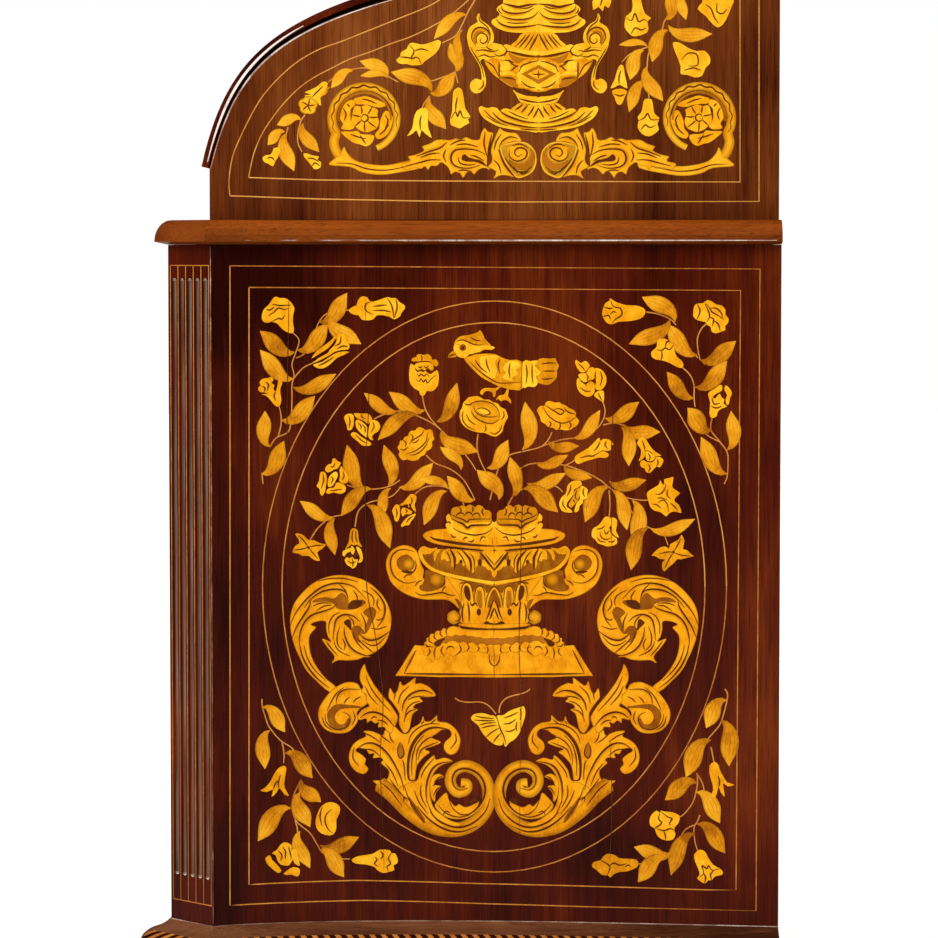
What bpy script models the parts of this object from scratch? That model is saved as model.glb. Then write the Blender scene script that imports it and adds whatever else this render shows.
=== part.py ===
"""Fall-front secretary in two cases: a chest of three long drawers with hollowed sides and fluted
canted corners, and a desk case whose ogee fall opens to a flat writing surface.
Metres, +Z up, front towards -Y, origin on the floor under the middle of the whole piece."""

import math

import bmesh
import bpy
from mathutils import Vector

# Clearances
GAP = 0.0003              # between pieces that touch
RUNNING = 0.001           # beside a drawer, a loper or the fall
DRAWER_REVEAL = 0.0015    # round a long drawer's front

# Lower case
CASE_WIDTH = 1.060
CASE_DEPTH = 0.570
CASE_HEIGHT = 0.635
CANT = 0.043              # leg of the canted front corner
FRONT_SETBACK = 0.024     # drawers, rails and plinth moulding behind the front of the posts
SIDE_THICKNESS = 0.052    # before the outside is hollowed
SIDE_HOLLOW = 0.030       # deepest point of the hollow
HOLLOW_SKEW = 0.7         # under 1 moves the deepest point towards the front
SIDE_STEPS = 14
BACK_THICKNESS = 0.014
BOTTOM_THICKNESS = 0.018
DUSTBOARD_THICKNESS = 0.018
TOP_RAIL_HEIGHT = 0.020
TOP_RAIL_DEPTH = 0.070
MIDDLE_DRAWER_OPENING = 0.187
BOTTOM_DRAWER_OPENING = 0.209

# Flutes of the canted corners
FLUTES = 5
FLUTE_PITCH = 0.0109
FLUTE_RADIUS = 0.0036
FLUTE_DEPTH = 0.0025
FLUTE_FROM_TOP = 0.031
FLUTE_FROM_BOTTOM = 0.042

# Feet and plinth
FOOT_HEIGHT = 0.036
FOOT_THICKNESS = 0.022
FOOT_LENGTH = 0.120
FOOT_OFFSET = 0.020
FOOT_CURVE = 0.026
FOOT_STEPS = 4
PLINTH_HEIGHT = 0.039
PLINTH_OFFSET = 0.028
PLINTH_SLOPE = 0.017
PLINTH_FRAME_WIDTH = 0.080

# Moulded top of the lower case
TOP_THICKNESS = 0.023
TOP_OFFSET = 0.0125
TOP_OVOLO_WIDTH = 0.016
TOP_OVOLO_HEIGHT = 0.0205
TOP_UNDERCUT = 0.0115
ROUND_STEPS = 5

# Lopers, which run in grooves under the moulded top and through the top rail
LOPER_WIDTH = 0.040
LOPER_HEIGHT = 0.017
LOPER_DROP = 0.0101       # part of the height that is let into the rail
LOPER_LENGTH = 0.400
LOPER_FROM_POST = 0.013

# Long drawers
FRONT_THICKNESS = 0.020
DRAWER_WALL = 0.012
DRAWER_BOTTOM = 0.008
DRAWER_BACK_SPACE = 0.056  # air behind a drawer's box
DRAWER_BOX_DROP = 0.014   # box edge below the top of its front

# Bail handles
HANDLE_SPACING = 0.560
PLATE_WIDTH = 0.098
PLATE_HEIGHT = 0.056
PLATE_THICKNESS = 0.002
PLATE_SIDES = 20
POST_SPACING = 0.070
POST_RADIUS = 0.0045
POST_REACH = 0.011
BAIL_RADIUS = 0.0023
BAIL_DROP = 0.030
BAIL_STEPS = 12

# Desk case: u runs back from its front edge, v up from its underside
DESK_SETBACK = 0.040      # behind the front of the lower case
DESK_HEIGHT = 0.393
DESK_SIDE = 0.022
DESK_BED = 0.020
DESK_TOP = 0.018
DESK_BACK = 0.012
DESK_RAIL = 0.022
HINGE_V = 0.0475          # height of the fall's hinge, level with the bed
HINGE_U = -0.0035
BELLY_LEAN = math.radians(14.0)
BELLY_RISE = 0.0888       # handle of the belly's curve at its foot
BELLY_END = (0.170, 0.2045)
BELLY_END_HANDLE = 0.1214
BELLY_END_SLOPE = math.radians(15.6)
SWEEP_RADIUS = 0.200      # hollow upper part of the ogee
BELLY_STEPS = 12
SWEEP_STEPS = 10

# Fall
LIP_GAP = 0.0015          # open joint between the lip and the side's edge, at its foot
LIP_SPREAD = 0.003        # how much wider that joint is at the end of the belly
LIP_THICKNESS = 0.0063
FALL_INSET = 0.012        # wood of the fall inside the line of the sides
PANEL_THICKNESS = 0.008
PANEL_START = 0.005
PANEL_OVERRUN = 0.020     # past the point where the panel meets the hump
LEATHER_THICKNESS = 0.0012
LEATHER_MARGIN = 0.040

# Fall hinges
HINGE_SPACING = 0.600
HINGE_LENGTH = 0.060
HINGE_MIDDLE_KNUCKLE = 0.024
HINGE_LEAF = 0.022
HINGE_LEAF_THICKNESS = 0.0018
KNUCKLE_RADIUS = 0.0032
PIN_RADIUS = 0.0014
KNUCKLE_SIDES = 14

# Fitted interior
NEST_BOARD = 0.008
NEST_NICHE = 0.236        # clear width of the middle niche
NEST_DRAWER_OPENING = 0.072
NEST_LOWER_U = 0.290
NEST_UPPER_U = 0.335
SMALL_WALL = 0.006
SMALL_FRONT = 0.010
KNOB_RADIUS = 0.007
KNOB_LENGTH = 0.013
KNOB_SIDES = 12

# Places worked out from the sizes above
TAN_HALF_CORNER = math.tan(math.radians(22.5))
TOTAL_DEPTH = CASE_DEPTH + PLINTH_OFFSET
BACK_Y = TOTAL_DEPTH / 2
FRONT_Y = BACK_Y - CASE_DEPTH
DRAWER_Y = FRONT_Y + FRONT_SETBACK
INNER_X = CASE_WIDTH / 2 - SIDE_THICKNESS
CASE_Z = FOOT_HEIGHT + PLINTH_HEIGHT
CASE_TOP_Z = CASE_Z + CASE_HEIGHT
DESK_Z = CASE_TOP_Z + TOP_THICKNESS
DESK_Y = FRONT_Y + DESK_SETBACK
DESK_DEPTH = CASE_DEPTH - DESK_SETBACK
DESK_OUTER_X = INNER_X + DESK_SIDE
RAIL_Z = CASE_TOP_Z - TOP_RAIL_HEIGHT

SWEEP_CENTRE = Vector(BELLY_END) + SWEEP_RADIUS * Vector(
    (-math.sin(BELLY_END_SLOPE), math.cos(BELLY_END_SLOPE)))
HINGE = Vector((HINGE_U, HINGE_V))
HINGE_TO_SWEEP = SWEEP_CENTRE - HINGE
PANEL_SLOPE = math.atan2(HINGE_TO_SWEEP.y, HINGE_TO_SWEEP.x) - math.asin(
    (SWEEP_RADIUS + FALL_INSET + PANEL_THICKNESS) / HINGE_TO_SWEEP.length)
ALONG_PANEL = Vector((math.cos(PANEL_SLOPE), math.sin(PANEL_SLOPE)))
OUT_OF_PANEL = Vector((-math.sin(PANEL_SLOPE), math.cos(PANEL_SLOPE)))
PANEL_END = HINGE_TO_SWEEP.dot(ALONG_PANEL) + PANEL_OVERRUN


# Building helpers

def clear_scene():
    for thing in list(bpy.data.objects):
        bpy.data.objects.remove(thing)


def finish_of(name, colour, roughness, metallic=0.0):
    material = bpy.data.materials.new(name)
    material.use_nodes = True
    shader = material.node_tree.nodes["Principled BSDF"]
    shader.inputs["Base Color"].default_value = (*colour, 1.0)
    shader.inputs["Roughness"].default_value = roughness
    shader.inputs["Metallic"].default_value = metallic
    material.diffuse_color = (*colour, 1.0)
    return material


def object_from(name, mesh, material, smooth=False):
    """Turns a finished bmesh into a linked object."""
    bmesh.ops.recalc_face_normals(mesh, faces=mesh.faces)
    data = bpy.data.meshes.new(name)
    mesh.to_mesh(data)
    mesh.free()
    if smooth:
        data.shade_smooth()
        data.set_sharp_from_angle(angle=math.radians(35))
    piece = bpy.data.objects.new(name, data)
    bpy.context.scene.collection.objects.link(piece)
    data.materials.append(material)
    return piece


def prism(name, outline, start, end, axis, material, smooth=False):
    """An outline pushed along X, Y or Z. Its points are the other two coordinates, in their order."""
    place = {
        "X": lambda a, b, along: (along, a, b),
        "Y": lambda a, b, along: (a, along, b),
        "Z": lambda a, b, along: (a, b, along),
    }[axis]
    mesh = bmesh.new()
    first = [mesh.verts.new(place(a, b, start)) for a, b in outline]
    last = [mesh.verts.new(place(a, b, end)) for a, b in outline]
    mesh.faces.new(first)
    mesh.faces.new(last)
    for i, corner in enumerate(first):
        follows = (i + 1) % len(first)
        mesh.faces.new((corner, first[follows], last[follows], last[i]))
    return object_from(name, mesh, material, smooth)


def block(name, low, high, material):
    outline = [(low[0], low[1]), (high[0], low[1]), (high[0], high[1]), (low[0], high[1])]
    return prism(name, outline, low[2], high[2], "Z", material)


def turned(name, profile, sides, material):
    """A piece turned about Z from (radius, height) points, bottom to top, closed by flat ends."""
    mesh = bmesh.new()
    rings = []
    for radius, height in profile:
        angles = [2 * math.pi * k / sides for k in range(sides)]
        ring = [mesh.verts.new((radius * math.cos(a), radius * math.sin(a), height)) for a in angles]
        rings.append(ring)
    mesh.faces.new(rings[0])
    mesh.faces.new(rings[-1])
    for lower, upper in zip(rings, rings[1:]):
        for i in range(sides):
            follows = (i + 1) % sides
            mesh.faces.new((lower[i], lower[follows], upper[follows], upper[i]))
    return object_from(name, mesh, material, smooth=True)


def combine(target, tool, operation):
    """A Boolean whose tool is kept as a hidden wire guide."""
    tool.hide_render = True
    tool.display_type = "WIRE"
    step = target.modifiers.new(tool.name, "BOOLEAN")
    step.operation = operation
    step.object = tool
    return target


def cut(target, tool):
    return combine(target, tool, "DIFFERENCE")


def fuse(target, tool):
    return combine(target, tool, "UNION")


def pivot(name, place):
    mark = bpy.data.objects.new(name, None)
    mark.location = place
    bpy.context.scene.collection.objects.link(mark)
    return mark


def carry(mark, *pieces):
    """Hangs pieces that are modelled in place on a joint's mark."""
    for piece in pieces:
        piece.parent = mark
        piece.location = piece.location - mark.location


def each_side():
    return (("left", -1), ("right", 1))


def between(first, second):
    return (min(first, second), max(first, second))


# Outlines

def hollow(share):
    """How far the side is hollowed, from its front corner at 0 to the back at 1."""
    return SIDE_HOLLOW * math.sin(math.pi * share ** HOLLOW_SKEW)


def hollow_side(offset, first=0.0, last=1.0, steps=SIDE_STEPS):
    """(x, y) points along the right side moved outward by offset, between two shares of its depth."""
    start = FRONT_Y + CANT - TAN_HALF_CORNER * offset
    points = []
    for k in range(steps + 1):
        share = first + (last - first) * k / steps
        points.append((CASE_WIDTH / 2 + offset - hollow(share), start + share * (BACK_Y - start)))
    return points


def case_outline(offset):
    """Plan of the lower case moved outward by offset, with its back left flush."""
    front_corner = (CASE_WIDTH / 2 - CANT + TAN_HALF_CORNER * offset, FRONT_Y - offset)
    right = [front_corner] + hollow_side(offset)
    return right + [(-x, y) for x, y in reversed(right)]


def moulded_slab(name, profile, material):
    """A board whose edge has a moulding, given as (offset, height) points from the underside up."""
    mesh = bmesh.new()
    rings = [[mesh.verts.new((x, y, z)) for x, y in case_outline(offset)] for offset, z in profile]
    mesh.faces.new(rings[0])
    mesh.faces.new(rings[-1])
    for lower, upper in zip(rings, rings[1:]):
        for i in range(len(lower)):
            follows = (i + 1) % len(lower)
            mesh.faces.new((lower[i], lower[follows], upper[follows], upper[i]))
    return object_from(name, mesh, material, smooth=True)


def top_moulding():
    """(offset, height above the case) points of the thumb moulding, underside first."""
    nose = TOP_THICKNESS - TOP_OVOLO_HEIGHT
    points = [(TOP_OFFSET - TOP_UNDERCUT, 0.0)]
    for k in range(ROUND_STEPS + 1):
        angle = math.pi / 2 * k / ROUND_STEPS
        points.append((TOP_OFFSET - TOP_OVOLO_WIDTH * (1 - math.cos(angle)),
                       nose + TOP_OVOLO_HEIGHT * math.sin(angle)))
    return points


def ogee(offset, spread=0.0):
    """(u, v) points up the curved front edge of the desk's side, moved outward by offset.

    Along the belly the offset grows by the spread.
    """
    foot = Vector((0.0, HINGE_V))
    end = Vector(BELLY_END)
    end_handle = end - BELLY_END_HANDLE * Vector((math.cos(BELLY_END_SLOPE), math.sin(BELLY_END_SLOPE)))
    foot_handle = foot + BELLY_RISE * Vector((math.sin(BELLY_LEAN), math.cos(BELLY_LEAN)))
    handles = (foot, foot_handle, end_handle, end)
    points = []
    for k in range(BELLY_STEPS):
        t = k / BELLY_STEPS
        weights = ((1 - t) ** 3, 3 * t * (1 - t) ** 2, 3 * t * t * (1 - t), t ** 3)
        place = sum((w * h for w, h in zip(weights, handles)), Vector((0.0, 0.0)))
        turns = ((1 - t) ** 2, 2 * t * (1 - t), t * t)
        heading = sum((w * (b - a) for w, a, b in zip(turns, handles, handles[1:])), Vector((0.0, 0.0)))
        heading.normalize()
        points.append(place + (offset + spread * t) * Vector((-heading.y, heading.x)))
    radius = SWEEP_RADIUS - offset - spread
    top_slope = math.acos((SWEEP_CENTRE.y - DESK_HEIGHT) / radius)
    for k in range(SWEEP_STEPS + 1):
        slope = BELLY_END_SLOPE + (top_slope - BELLY_END_SLOPE) * k / SWEEP_STEPS
        points.append(SWEEP_CENTRE + radius * Vector((math.sin(slope), -math.cos(slope))))
    return [(p.x, p.y) for p in points]


def in_desk(points):
    """(u, v) points of the desk case as (y, z)."""
    return [(DESK_Y + u, DESK_Z + v) for u, v in points]


def on_panel(points):
    """(along, out) points of the fall's writing face as (y, z)."""
    places = [HINGE + s * ALONG_PANEL + n * OUT_OF_PANEL for s, n in points]
    return in_desk([(p.x, p.y) for p in places])


def box_points(low_a, low_b, high_a, high_b):
    return [(low_a, low_b), (high_a, low_b), (high_a, high_b), (low_a, high_b)]


def circle_points(centre, radius, sides):
    angles = [2 * math.pi * (k + 0.5) / sides for k in range(sides)]
    return [(centre[0] + radius * math.cos(a), centre[1] + radius * math.sin(a)) for a in angles]


# Base: feet, plinth and lower carcass

def bracket_foot(name, side, at_front, wood):
    """A bracket foot that follows the plinth round its corner, its two ends cut to a curve."""
    setback = FRONT_SETBACK if at_front else 0.0
    inside = FOOT_OFFSET - FOOT_THICKNESS
    reach = FOOT_LENGTH / DESK_DEPTH
    first, last = (0.0, reach) if at_front else (1.0, 1.0 - reach)
    outer = hollow_side(FOOT_OFFSET, first, last, FOOT_STEPS)
    inner = hollow_side(inside, first, last, FOOT_STEPS)
    if at_front:
        outer.insert(0, case_outline(FOOT_OFFSET)[0])
        outer.insert(0, (INNER_X, outer[0][1]))
        x, y = case_outline(inside)[0]
        inner.insert(0, (x + setback, y + setback))
    else:
        inner[0] = (inner[0][0], BACK_Y - FOOT_THICKNESS)
    return_end = outer[0][0] - FOOT_LENGTH
    return_y = outer[0][1] + setback
    plan = [(return_end, return_y)]
    if at_front:
        plan.append((INNER_X, return_y))
    plan += outer + list(reversed(inner)) + [(return_end, inner[0][1])]
    foot = prism(name, [(side * x, y) for x, y in plan], 0.0, FOOT_HEIGHT - GAP, "Z", wood)
    rounded = circle_points((side * return_end, 0.0), FOOT_CURVE, KNUCKLE_SIDES)
    low, high = between(outer[0][1], inner[0][1])
    cut(foot, prism(name + "_return_curve", rounded, low - RUNNING, high + RUNNING, "Y", wood))
    rounded = circle_points((outer[-1][1], 0.0), FOOT_CURVE, KNUCKLE_SIDES)
    low, high = between(side * (CASE_WIDTH / 2 - SIDE_THICKNESS), side * (CASE_WIDTH / 2 + SIDE_THICKNESS))
    cut(foot, prism(name + "_side_curve", rounded, low, high, "X", wood))


def plinth(wood):
    """A moulded frame: a sloping upper face over an upright edge, set back between the posts."""
    top = CASE_Z - GAP
    nose = top - PLINTH_SLOPE
    foot = FOOT_HEIGHT
    slope = []
    for k in range(ROUND_STEPS + 1):
        share = k / ROUND_STEPS
        rise = share + math.sin(2 * math.pi * share) / (4 * math.pi)
        slope.append((PLINTH_OFFSET * (1 - share), nose + rise * PLINTH_SLOPE))
    profile = [(FOOT_OFFSET, foot), (PLINTH_OFFSET, foot + FOOT_OFFSET / 4)] + slope
    frame = moulded_slab("plinth", profile, wood)
    inner_x = CASE_WIDTH / 2 - PLINTH_FRAME_WIDTH
    opening = block("plinth_opening", (-inner_x, DRAWER_Y + PLINTH_FRAME_WIDTH, 0.0),
                    (inner_x, BACK_Y - PLINTH_FRAME_WIDTH, 2 * CASE_Z), wood)
    cut(frame, opening)
    recess = [(DRAWER_Y - offset, z) for offset, z in profile]
    recess.insert(0, (recess[0][0], foot - RUNNING))
    recess.append((recess[-1][0], top + RUNNING))
    ahead = FRONT_Y - 2 * PLINTH_OFFSET
    recess += [(ahead, top + RUNNING), (ahead, foot - RUNNING)]
    cut(frame, prism("plinth_recess", recess, -INNER_X, INNER_X, "X", wood))


def flute_cutter(name, x, y, wood):
    """A long rod with round ends, standing upright at (x, y)."""
    mesh = bmesh.new()
    bmesh.ops.create_uvsphere(mesh, u_segments=KNUCKLE_SIDES, v_segments=7, radius=FLUTE_RADIUS)
    low = CASE_Z + FLUTE_FROM_BOTTOM + FLUTE_RADIUS
    high = CASE_TOP_Z - FLUTE_FROM_TOP - FLUTE_RADIUS
    for corner in mesh.verts:
        corner.co.z += high if corner.co.z > 0 else low
        corner.co.x += x
        corner.co.y += y
    return object_from(name, mesh, wood)


def corner_post(name, side, wood):
    """The canted front stile, with its row of stopped flutes."""
    half = CASE_WIDTH / 2
    plan = [(half - SIDE_THICKNESS, FRONT_Y), (half - CANT, FRONT_Y),
            (half, FRONT_Y + CANT), (half - SIDE_THICKNESS, FRONT_Y + CANT)]
    post = prism(name, [(side * x, y) for x, y in plan], CASE_Z, CASE_TOP_Z - GAP, "Z", wood)
    middle = Vector((half - CANT / 2, FRONT_Y + CANT / 2))
    along = Vector((1.0, 1.0)).normalized()
    outward = Vector((1.0, -1.0)).normalized()
    for k in range(FLUTES):
        shift = (k - (FLUTES - 1) / 2) * FLUTE_PITCH
        place = middle + shift * along + (FLUTE_RADIUS - FLUTE_DEPTH) * outward
        cut(post, flute_cutter(f"{name}_flute_{k + 1}", side * place.x, place.y, wood))


def base_case(wood, oak):
    for end, at_front in (("front", True), ("back", False)):
        for word, side in each_side():
            bracket_foot(f"bracket_foot_{end}_{word}", side, at_front, wood)
    plinth(wood)
    inside_x = INNER_X - GAP
    back_inside = BACK_Y - BACK_THICKNESS - GAP
    for word, side in each_side():
        corner_post(f"corner_post_{word}", side, wood)
        curve = [(x, max(y, FRONT_Y + CANT + GAP)) for x, y in hollow_side(0.0)]
        plan = [(INNER_X, BACK_Y), (INNER_X, FRONT_Y + CANT + GAP)] + curve
        prism(f"base_side_{word}", [(side * x, y) for x, y in plan], CASE_Z, CASE_TOP_Z - GAP, "Z", wood,
              smooth=True)
    block("base_back", (-inside_x, BACK_Y - BACK_THICKNESS, CASE_Z), (inside_x, BACK_Y, CASE_TOP_Z - GAP), oak)
    block("base_bottom", (-inside_x, DRAWER_Y, CASE_Z), (inside_x, back_inside, CASE_Z + BOTTOM_THICKNESS), wood)
    rail = block("top_rail", (-inside_x, DRAWER_Y, RAIL_Z),
                 (inside_x, DRAWER_Y + TOP_RAIL_DEPTH, CASE_TOP_Z - GAP), wood)
    cut_loper_grooves(rail, wood)
    for name, low in (("dustboard_lower", lower_dustboard_z()), ("dustboard_upper", upper_dustboard_z())):
        block(name, (-inside_x, DRAWER_Y, low), (inside_x, back_inside, low + DUSTBOARD_THICKNESS), wood)


def lower_dustboard_z():
    return CASE_Z + BOTTOM_THICKNESS + BOTTOM_DRAWER_OPENING


def upper_dustboard_z():
    return lower_dustboard_z() + DUSTBOARD_THICKNESS + MIDDLE_DRAWER_OPENING


def drawer_openings():
    """(name, floor height, ceiling height) of the three long drawers."""
    bottom = CASE_Z + BOTTOM_THICKNESS
    middle = lower_dustboard_z() + DUSTBOARD_THICKNESS
    top = upper_dustboard_z() + DUSTBOARD_THICKNESS
    return (("top", top, RAIL_Z), ("middle", middle, upper_dustboard_z()), ("bottom", bottom, lower_dustboard_z()))


# Moulded top and the lopers that run under it

def loper_inner_x():
    return INNER_X - LOPER_FROM_POST - LOPER_WIDTH


def cut_loper_grooves(target, wood):
    front = FRONT_Y - 2 * TOP_OFFSET
    back = FRONT_Y - TOP_OFFSET + LOPER_LENGTH + RUNNING
    floor = CASE_TOP_Z - LOPER_DROP
    for word, side in each_side():
        low, high = between(side * (loper_inner_x() - GAP), side * (loper_inner_x() + LOPER_WIDTH + GAP))
        groove = block(f"{target.name}_groove_{word}", (low, front, floor - GAP),
                       (high, back, floor + LOPER_HEIGHT + GAP), wood)
        cut(target, groove)


def base_top(wood):
    profile = [(offset, CASE_TOP_Z + z) for offset, z in top_moulding()]
    board = moulded_slab("base_top", profile[:-1] + [(profile[-1][0], DESK_Z - GAP)], wood)
    cut_loper_grooves(board, wood)


def loper_front():
    """(y, z) points of a loper's side: a bar whose front end carries on the moulding."""
    floor = CASE_TOP_Z - LOPER_DROP
    ceiling = floor + LOPER_HEIGHT
    front = [(FRONT_Y - offset, CASE_TOP_Z + z) for offset, z in top_moulding()]
    nose = [(DRAWER_Y, floor), (DRAWER_Y, CASE_TOP_Z)] + [(y, z) for y, z in front if z < ceiling - GAP]
    tail = FRONT_Y - TOP_OFFSET + LOPER_LENGTH
    return nose + [(nose[-1][0] + GAP, ceiling), (tail, ceiling), (tail, floor)]


def knob_profile(radius, length):
    """A turned knob: a neck under a flattened ball."""
    return [(0.45 * radius, -0.1 * length), (0.4 * radius, 0.35 * length), (0.85 * radius, 0.5 * length),
            (radius, 0.72 * length), (0.8 * radius, 0.92 * length), (0.3 * radius, length)]


def front_knob(name, place, wood):
    """A small turned knob that stands out towards the front at a place on a front face."""
    knob = turned(name, knob_profile(KNOB_RADIUS, KNOB_LENGTH), KNOB_SIDES, wood)
    knob.rotation_euler = (math.pi / 2, 0.0, 0.0)
    knob.location = place
    return knob


def lopers(wood):
    for word, side in each_side():
        low, high = between(side * loper_inner_x(), side * (loper_inner_x() + LOPER_WIDTH))
        bar = prism(f"loper_{word}", loper_front(), low, high, "X", wood)
        place = Vector(((low + high) / 2, FRONT_Y - TOP_OFFSET, CASE_TOP_Z))
        slide = pivot(f"loper_{word}_slide", place)
        carry(slide, bar)


# Long drawers and their handles

def tray(name, low, high, wall, floor, wood):
    """A box open at the top."""
    box = block(name, low, high, wood)
    inside = block(name + "_inside", (low[0] + wall, low[1] + wall, low[2] + floor),
                   (high[0] - wall, high[1] - wall, high[2] + wall), wood)
    return cut(box, inside)


def handle_plate(name, place, brass):
    """An oval plate with the two posts that hold the bail."""
    oval = [(place.x + x * PLATE_WIDTH / 2, place.z + z * PLATE_HEIGHT / 2)
            for x, z in circle_points((0.0, 0.0), 1.0, PLATE_SIDES)]
    plate = prism(name, oval, place.y - PLATE_THICKNESS, place.y - GAP, "Y", brass, smooth=True)
    for word, side in each_side():
        centre = (place.x + side * POST_SPACING / 2, place.z)
        reach = place.y - PLATE_THICKNESS - POST_REACH - POST_RADIUS
        post = prism(f"{name}_post_{word}", circle_points(centre, POST_RADIUS, KNUCKLE_SIDES),
                     reach, place.y - PLATE_THICKNESS / 2, "Y", brass)
        fuse(plate, post)
    return plate


def bail(name, axis_place, brass):
    """The hanging bow of a handle, its origin on the line through the posts."""
    reach = POST_SPACING / 2 - POST_RADIUS - GAP - BAIL_RADIUS
    curve = bpy.data.curves.new(name, "CURVE")
    curve.dimensions = "3D"
    curve.bevel_depth = BAIL_RADIUS
    curve.bevel_resolution = 1
    curve.use_fill_caps = True
    bow = curve.splines.new("POLY")
    bow.points.add(BAIL_STEPS)
    for k, point in enumerate(bow.points):
        angle = math.pi * k / BAIL_STEPS
        point.co = (-reach * math.cos(angle), 0.0, -BAIL_DROP * math.sin(angle) ** 0.8, 1.0)
    piece = bpy.data.objects.new(name, curve)
    piece.location = axis_place
    bpy.context.scene.collection.objects.link(piece)
    curve.materials.append(brass)
    return piece


def long_drawer(word, floor, ceiling, wood, oak, brass):
    front_x = INNER_X - DRAWER_REVEAL
    low_z = floor + GAP
    high_z = ceiling - DRAWER_REVEAL
    front_back = DRAWER_Y + FRONT_THICKNESS
    face = block(f"drawer_{word}_front", (-front_x, DRAWER_Y, low_z), (front_x, front_back, high_z), wood)
    box_x = INNER_X - RUNNING
    box_back = BACK_Y - BACK_THICKNESS - DRAWER_BACK_SPACE
    box = tray(f"drawer_{word}_box", (-box_x, front_back + GAP, low_z),
               (box_x, box_back, high_z - DRAWER_BOX_DROP), DRAWER_WALL, DRAWER_BOTTOM, oak)
    slide = pivot(f"drawer_{word}_slide", Vector((0.0, DRAWER_Y, (low_z + high_z) / 2)))
    carry(slide, face, box)
    for side_word, side in each_side():
        place = Vector((side * HANDLE_SPACING / 2, DRAWER_Y, (low_z + high_z) / 2))
        plate = handle_plate(f"handle_plate_{word}_{side_word}", place, brass)
        axis = place - Vector((0.0, PLATE_THICKNESS + POST_REACH, 0.0))
        carry(slide, plate, bail(f"handle_bail_{word}_{side_word}", axis, brass))


# Desk case and its fitted interior

def desk_case(wood, oak):
    side_points = [(0.0, 0.0)] + ogee(0.0) + [(DESK_DEPTH, DESK_HEIGHT), (DESK_DEPTH, 0.0)]
    for word, side in each_side():
        low, high = between(side * INNER_X, side * DESK_OUTER_X)
        prism(f"desk_side_{word}", in_desk(side_points), low, high, "X", wood, smooth=True)
    inside_x = INNER_X - GAP
    back_u = DESK_DEPTH - DESK_BACK
    top_u = SWEEP_CENTRE.x + SWEEP_RADIUS + FALL_INSET + RUNNING
    rail_top = HINGE_V - DESK_BED - GAP
    prism("desk_back", in_desk(box_points(back_u, 0.0, DESK_DEPTH, DESK_HEIGHT)), -inside_x, inside_x, "X", oak)
    prism("desk_top", in_desk(box_points(top_u, DESK_HEIGHT - DESK_TOP, back_u - GAP, DESK_HEIGHT)),
          -inside_x, inside_x, "X", wood)
    prism("desk_rail", in_desk(box_points(0.0, 0.0, DESK_RAIL, rail_top)), -inside_x, inside_x, "X", wood)
    bed = prism("desk_bed", in_desk(box_points(0.0, HINGE_V - DESK_BED, back_u - GAP, HINGE_V)),
                -inside_x, inside_x, "X", wood)
    pocket = box_points(-HINGE_LEAF, HINGE_V - HINGE_LEAF_THICKNESS - GAP,
                        HINGE_U + HINGE_LEAF + GAP, HINGE_V + HINGE_LEAF)
    for word, low, high in hinge_spans(HINGE_LENGTH + 2 * GAP):
        cut(bed, prism(f"bed_hinge_pocket_{word}", in_desk(pocket), low, high, "X", wood))


def nest_board(name, low, high, wood):
    """A thin board of the interior, from (x, u, v) to (x, u, v)."""
    return block(name, (low[0], DESK_Y + low[1], DESK_Z + low[2]), (high[0], DESK_Y + high[1], DESK_Z + high[2]), wood)


def nest(wood, oak):
    """Three small drawers under a shelf, and a niche between pigeonholes above it."""
    back_u = DESK_DEPTH - DESK_BACK - GAP
    floor = HINGE_V + GAP
    shelf = floor + NEST_DRAWER_OPENING
    upper = shelf + NEST_BOARD + GAP
    ceiling = DESK_HEIGHT - DESK_TOP - GAP
    inside_x = INNER_X - GAP
    wall = NEST_NICHE / 2
    nest_board("nest_shelf", (-inside_x, NEST_LOWER_U, shelf), (inside_x, back_u, shelf + NEST_BOARD), wood)
    spans = {"center": (-wall, wall)}
    for word, side in each_side():
        low, high = between(side * wall, side * (wall + NEST_BOARD))
        nest_board(f"nest_partition_{word}", (low, NEST_LOWER_U, floor), (high, back_u, shelf - GAP), wood)
        nest_board(f"nest_wall_{word}", (low, NEST_UPPER_U, upper), (high, back_u, ceiling), wood)
        middle = side * (wall + NEST_BOARD + inside_x) / 2
        nest_board(f"pigeonhole_divider_{word}", (middle - NEST_BOARD / 2, NEST_UPPER_U, upper),
                   (middle + NEST_BOARD / 2, back_u, ceiling), wood)
        spans[word] = between(side * (wall + NEST_BOARD), side * inside_x)
    for word, (low, high) in spans.items():
        small_drawer(word, low + RUNNING, high - RUNNING, floor, shelf - RUNNING, back_u - GAP, wood)


def small_drawer(word, low, high, floor, ceiling, back_u, wood):
    """A shallow tray with a thicker front and a turned knob, worked as one piece."""
    front_u = NEST_LOWER_U + GAP
    drawer = nest_board(f"small_drawer_{word}", (low, front_u, floor), (high, back_u, ceiling), wood)
    inside = nest_board(f"small_drawer_{word}_inside", (low + SMALL_WALL, front_u + SMALL_FRONT, floor + SMALL_WALL),
                        (high - SMALL_WALL, back_u - SMALL_WALL, ceiling + SMALL_WALL), wood)
    cut(drawer, inside)
    place = Vector(((low + high) / 2, DESK_Y + front_u, DESK_Z + (floor + ceiling) / 2))
    fuse(drawer, front_knob(f"small_drawer_{word}_knob", place, wood))
    carry(pivot(f"small_drawer_{word}_slide", place), drawer)


# Fall and its hinges

def hinge_spans(length):
    """(word, low x, high x) of a length centred on each hinge."""
    for word, side in each_side():
        middle = side * HINGE_SPACING / 2
        yield word, middle - length / 2, middle + length / 2


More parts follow.
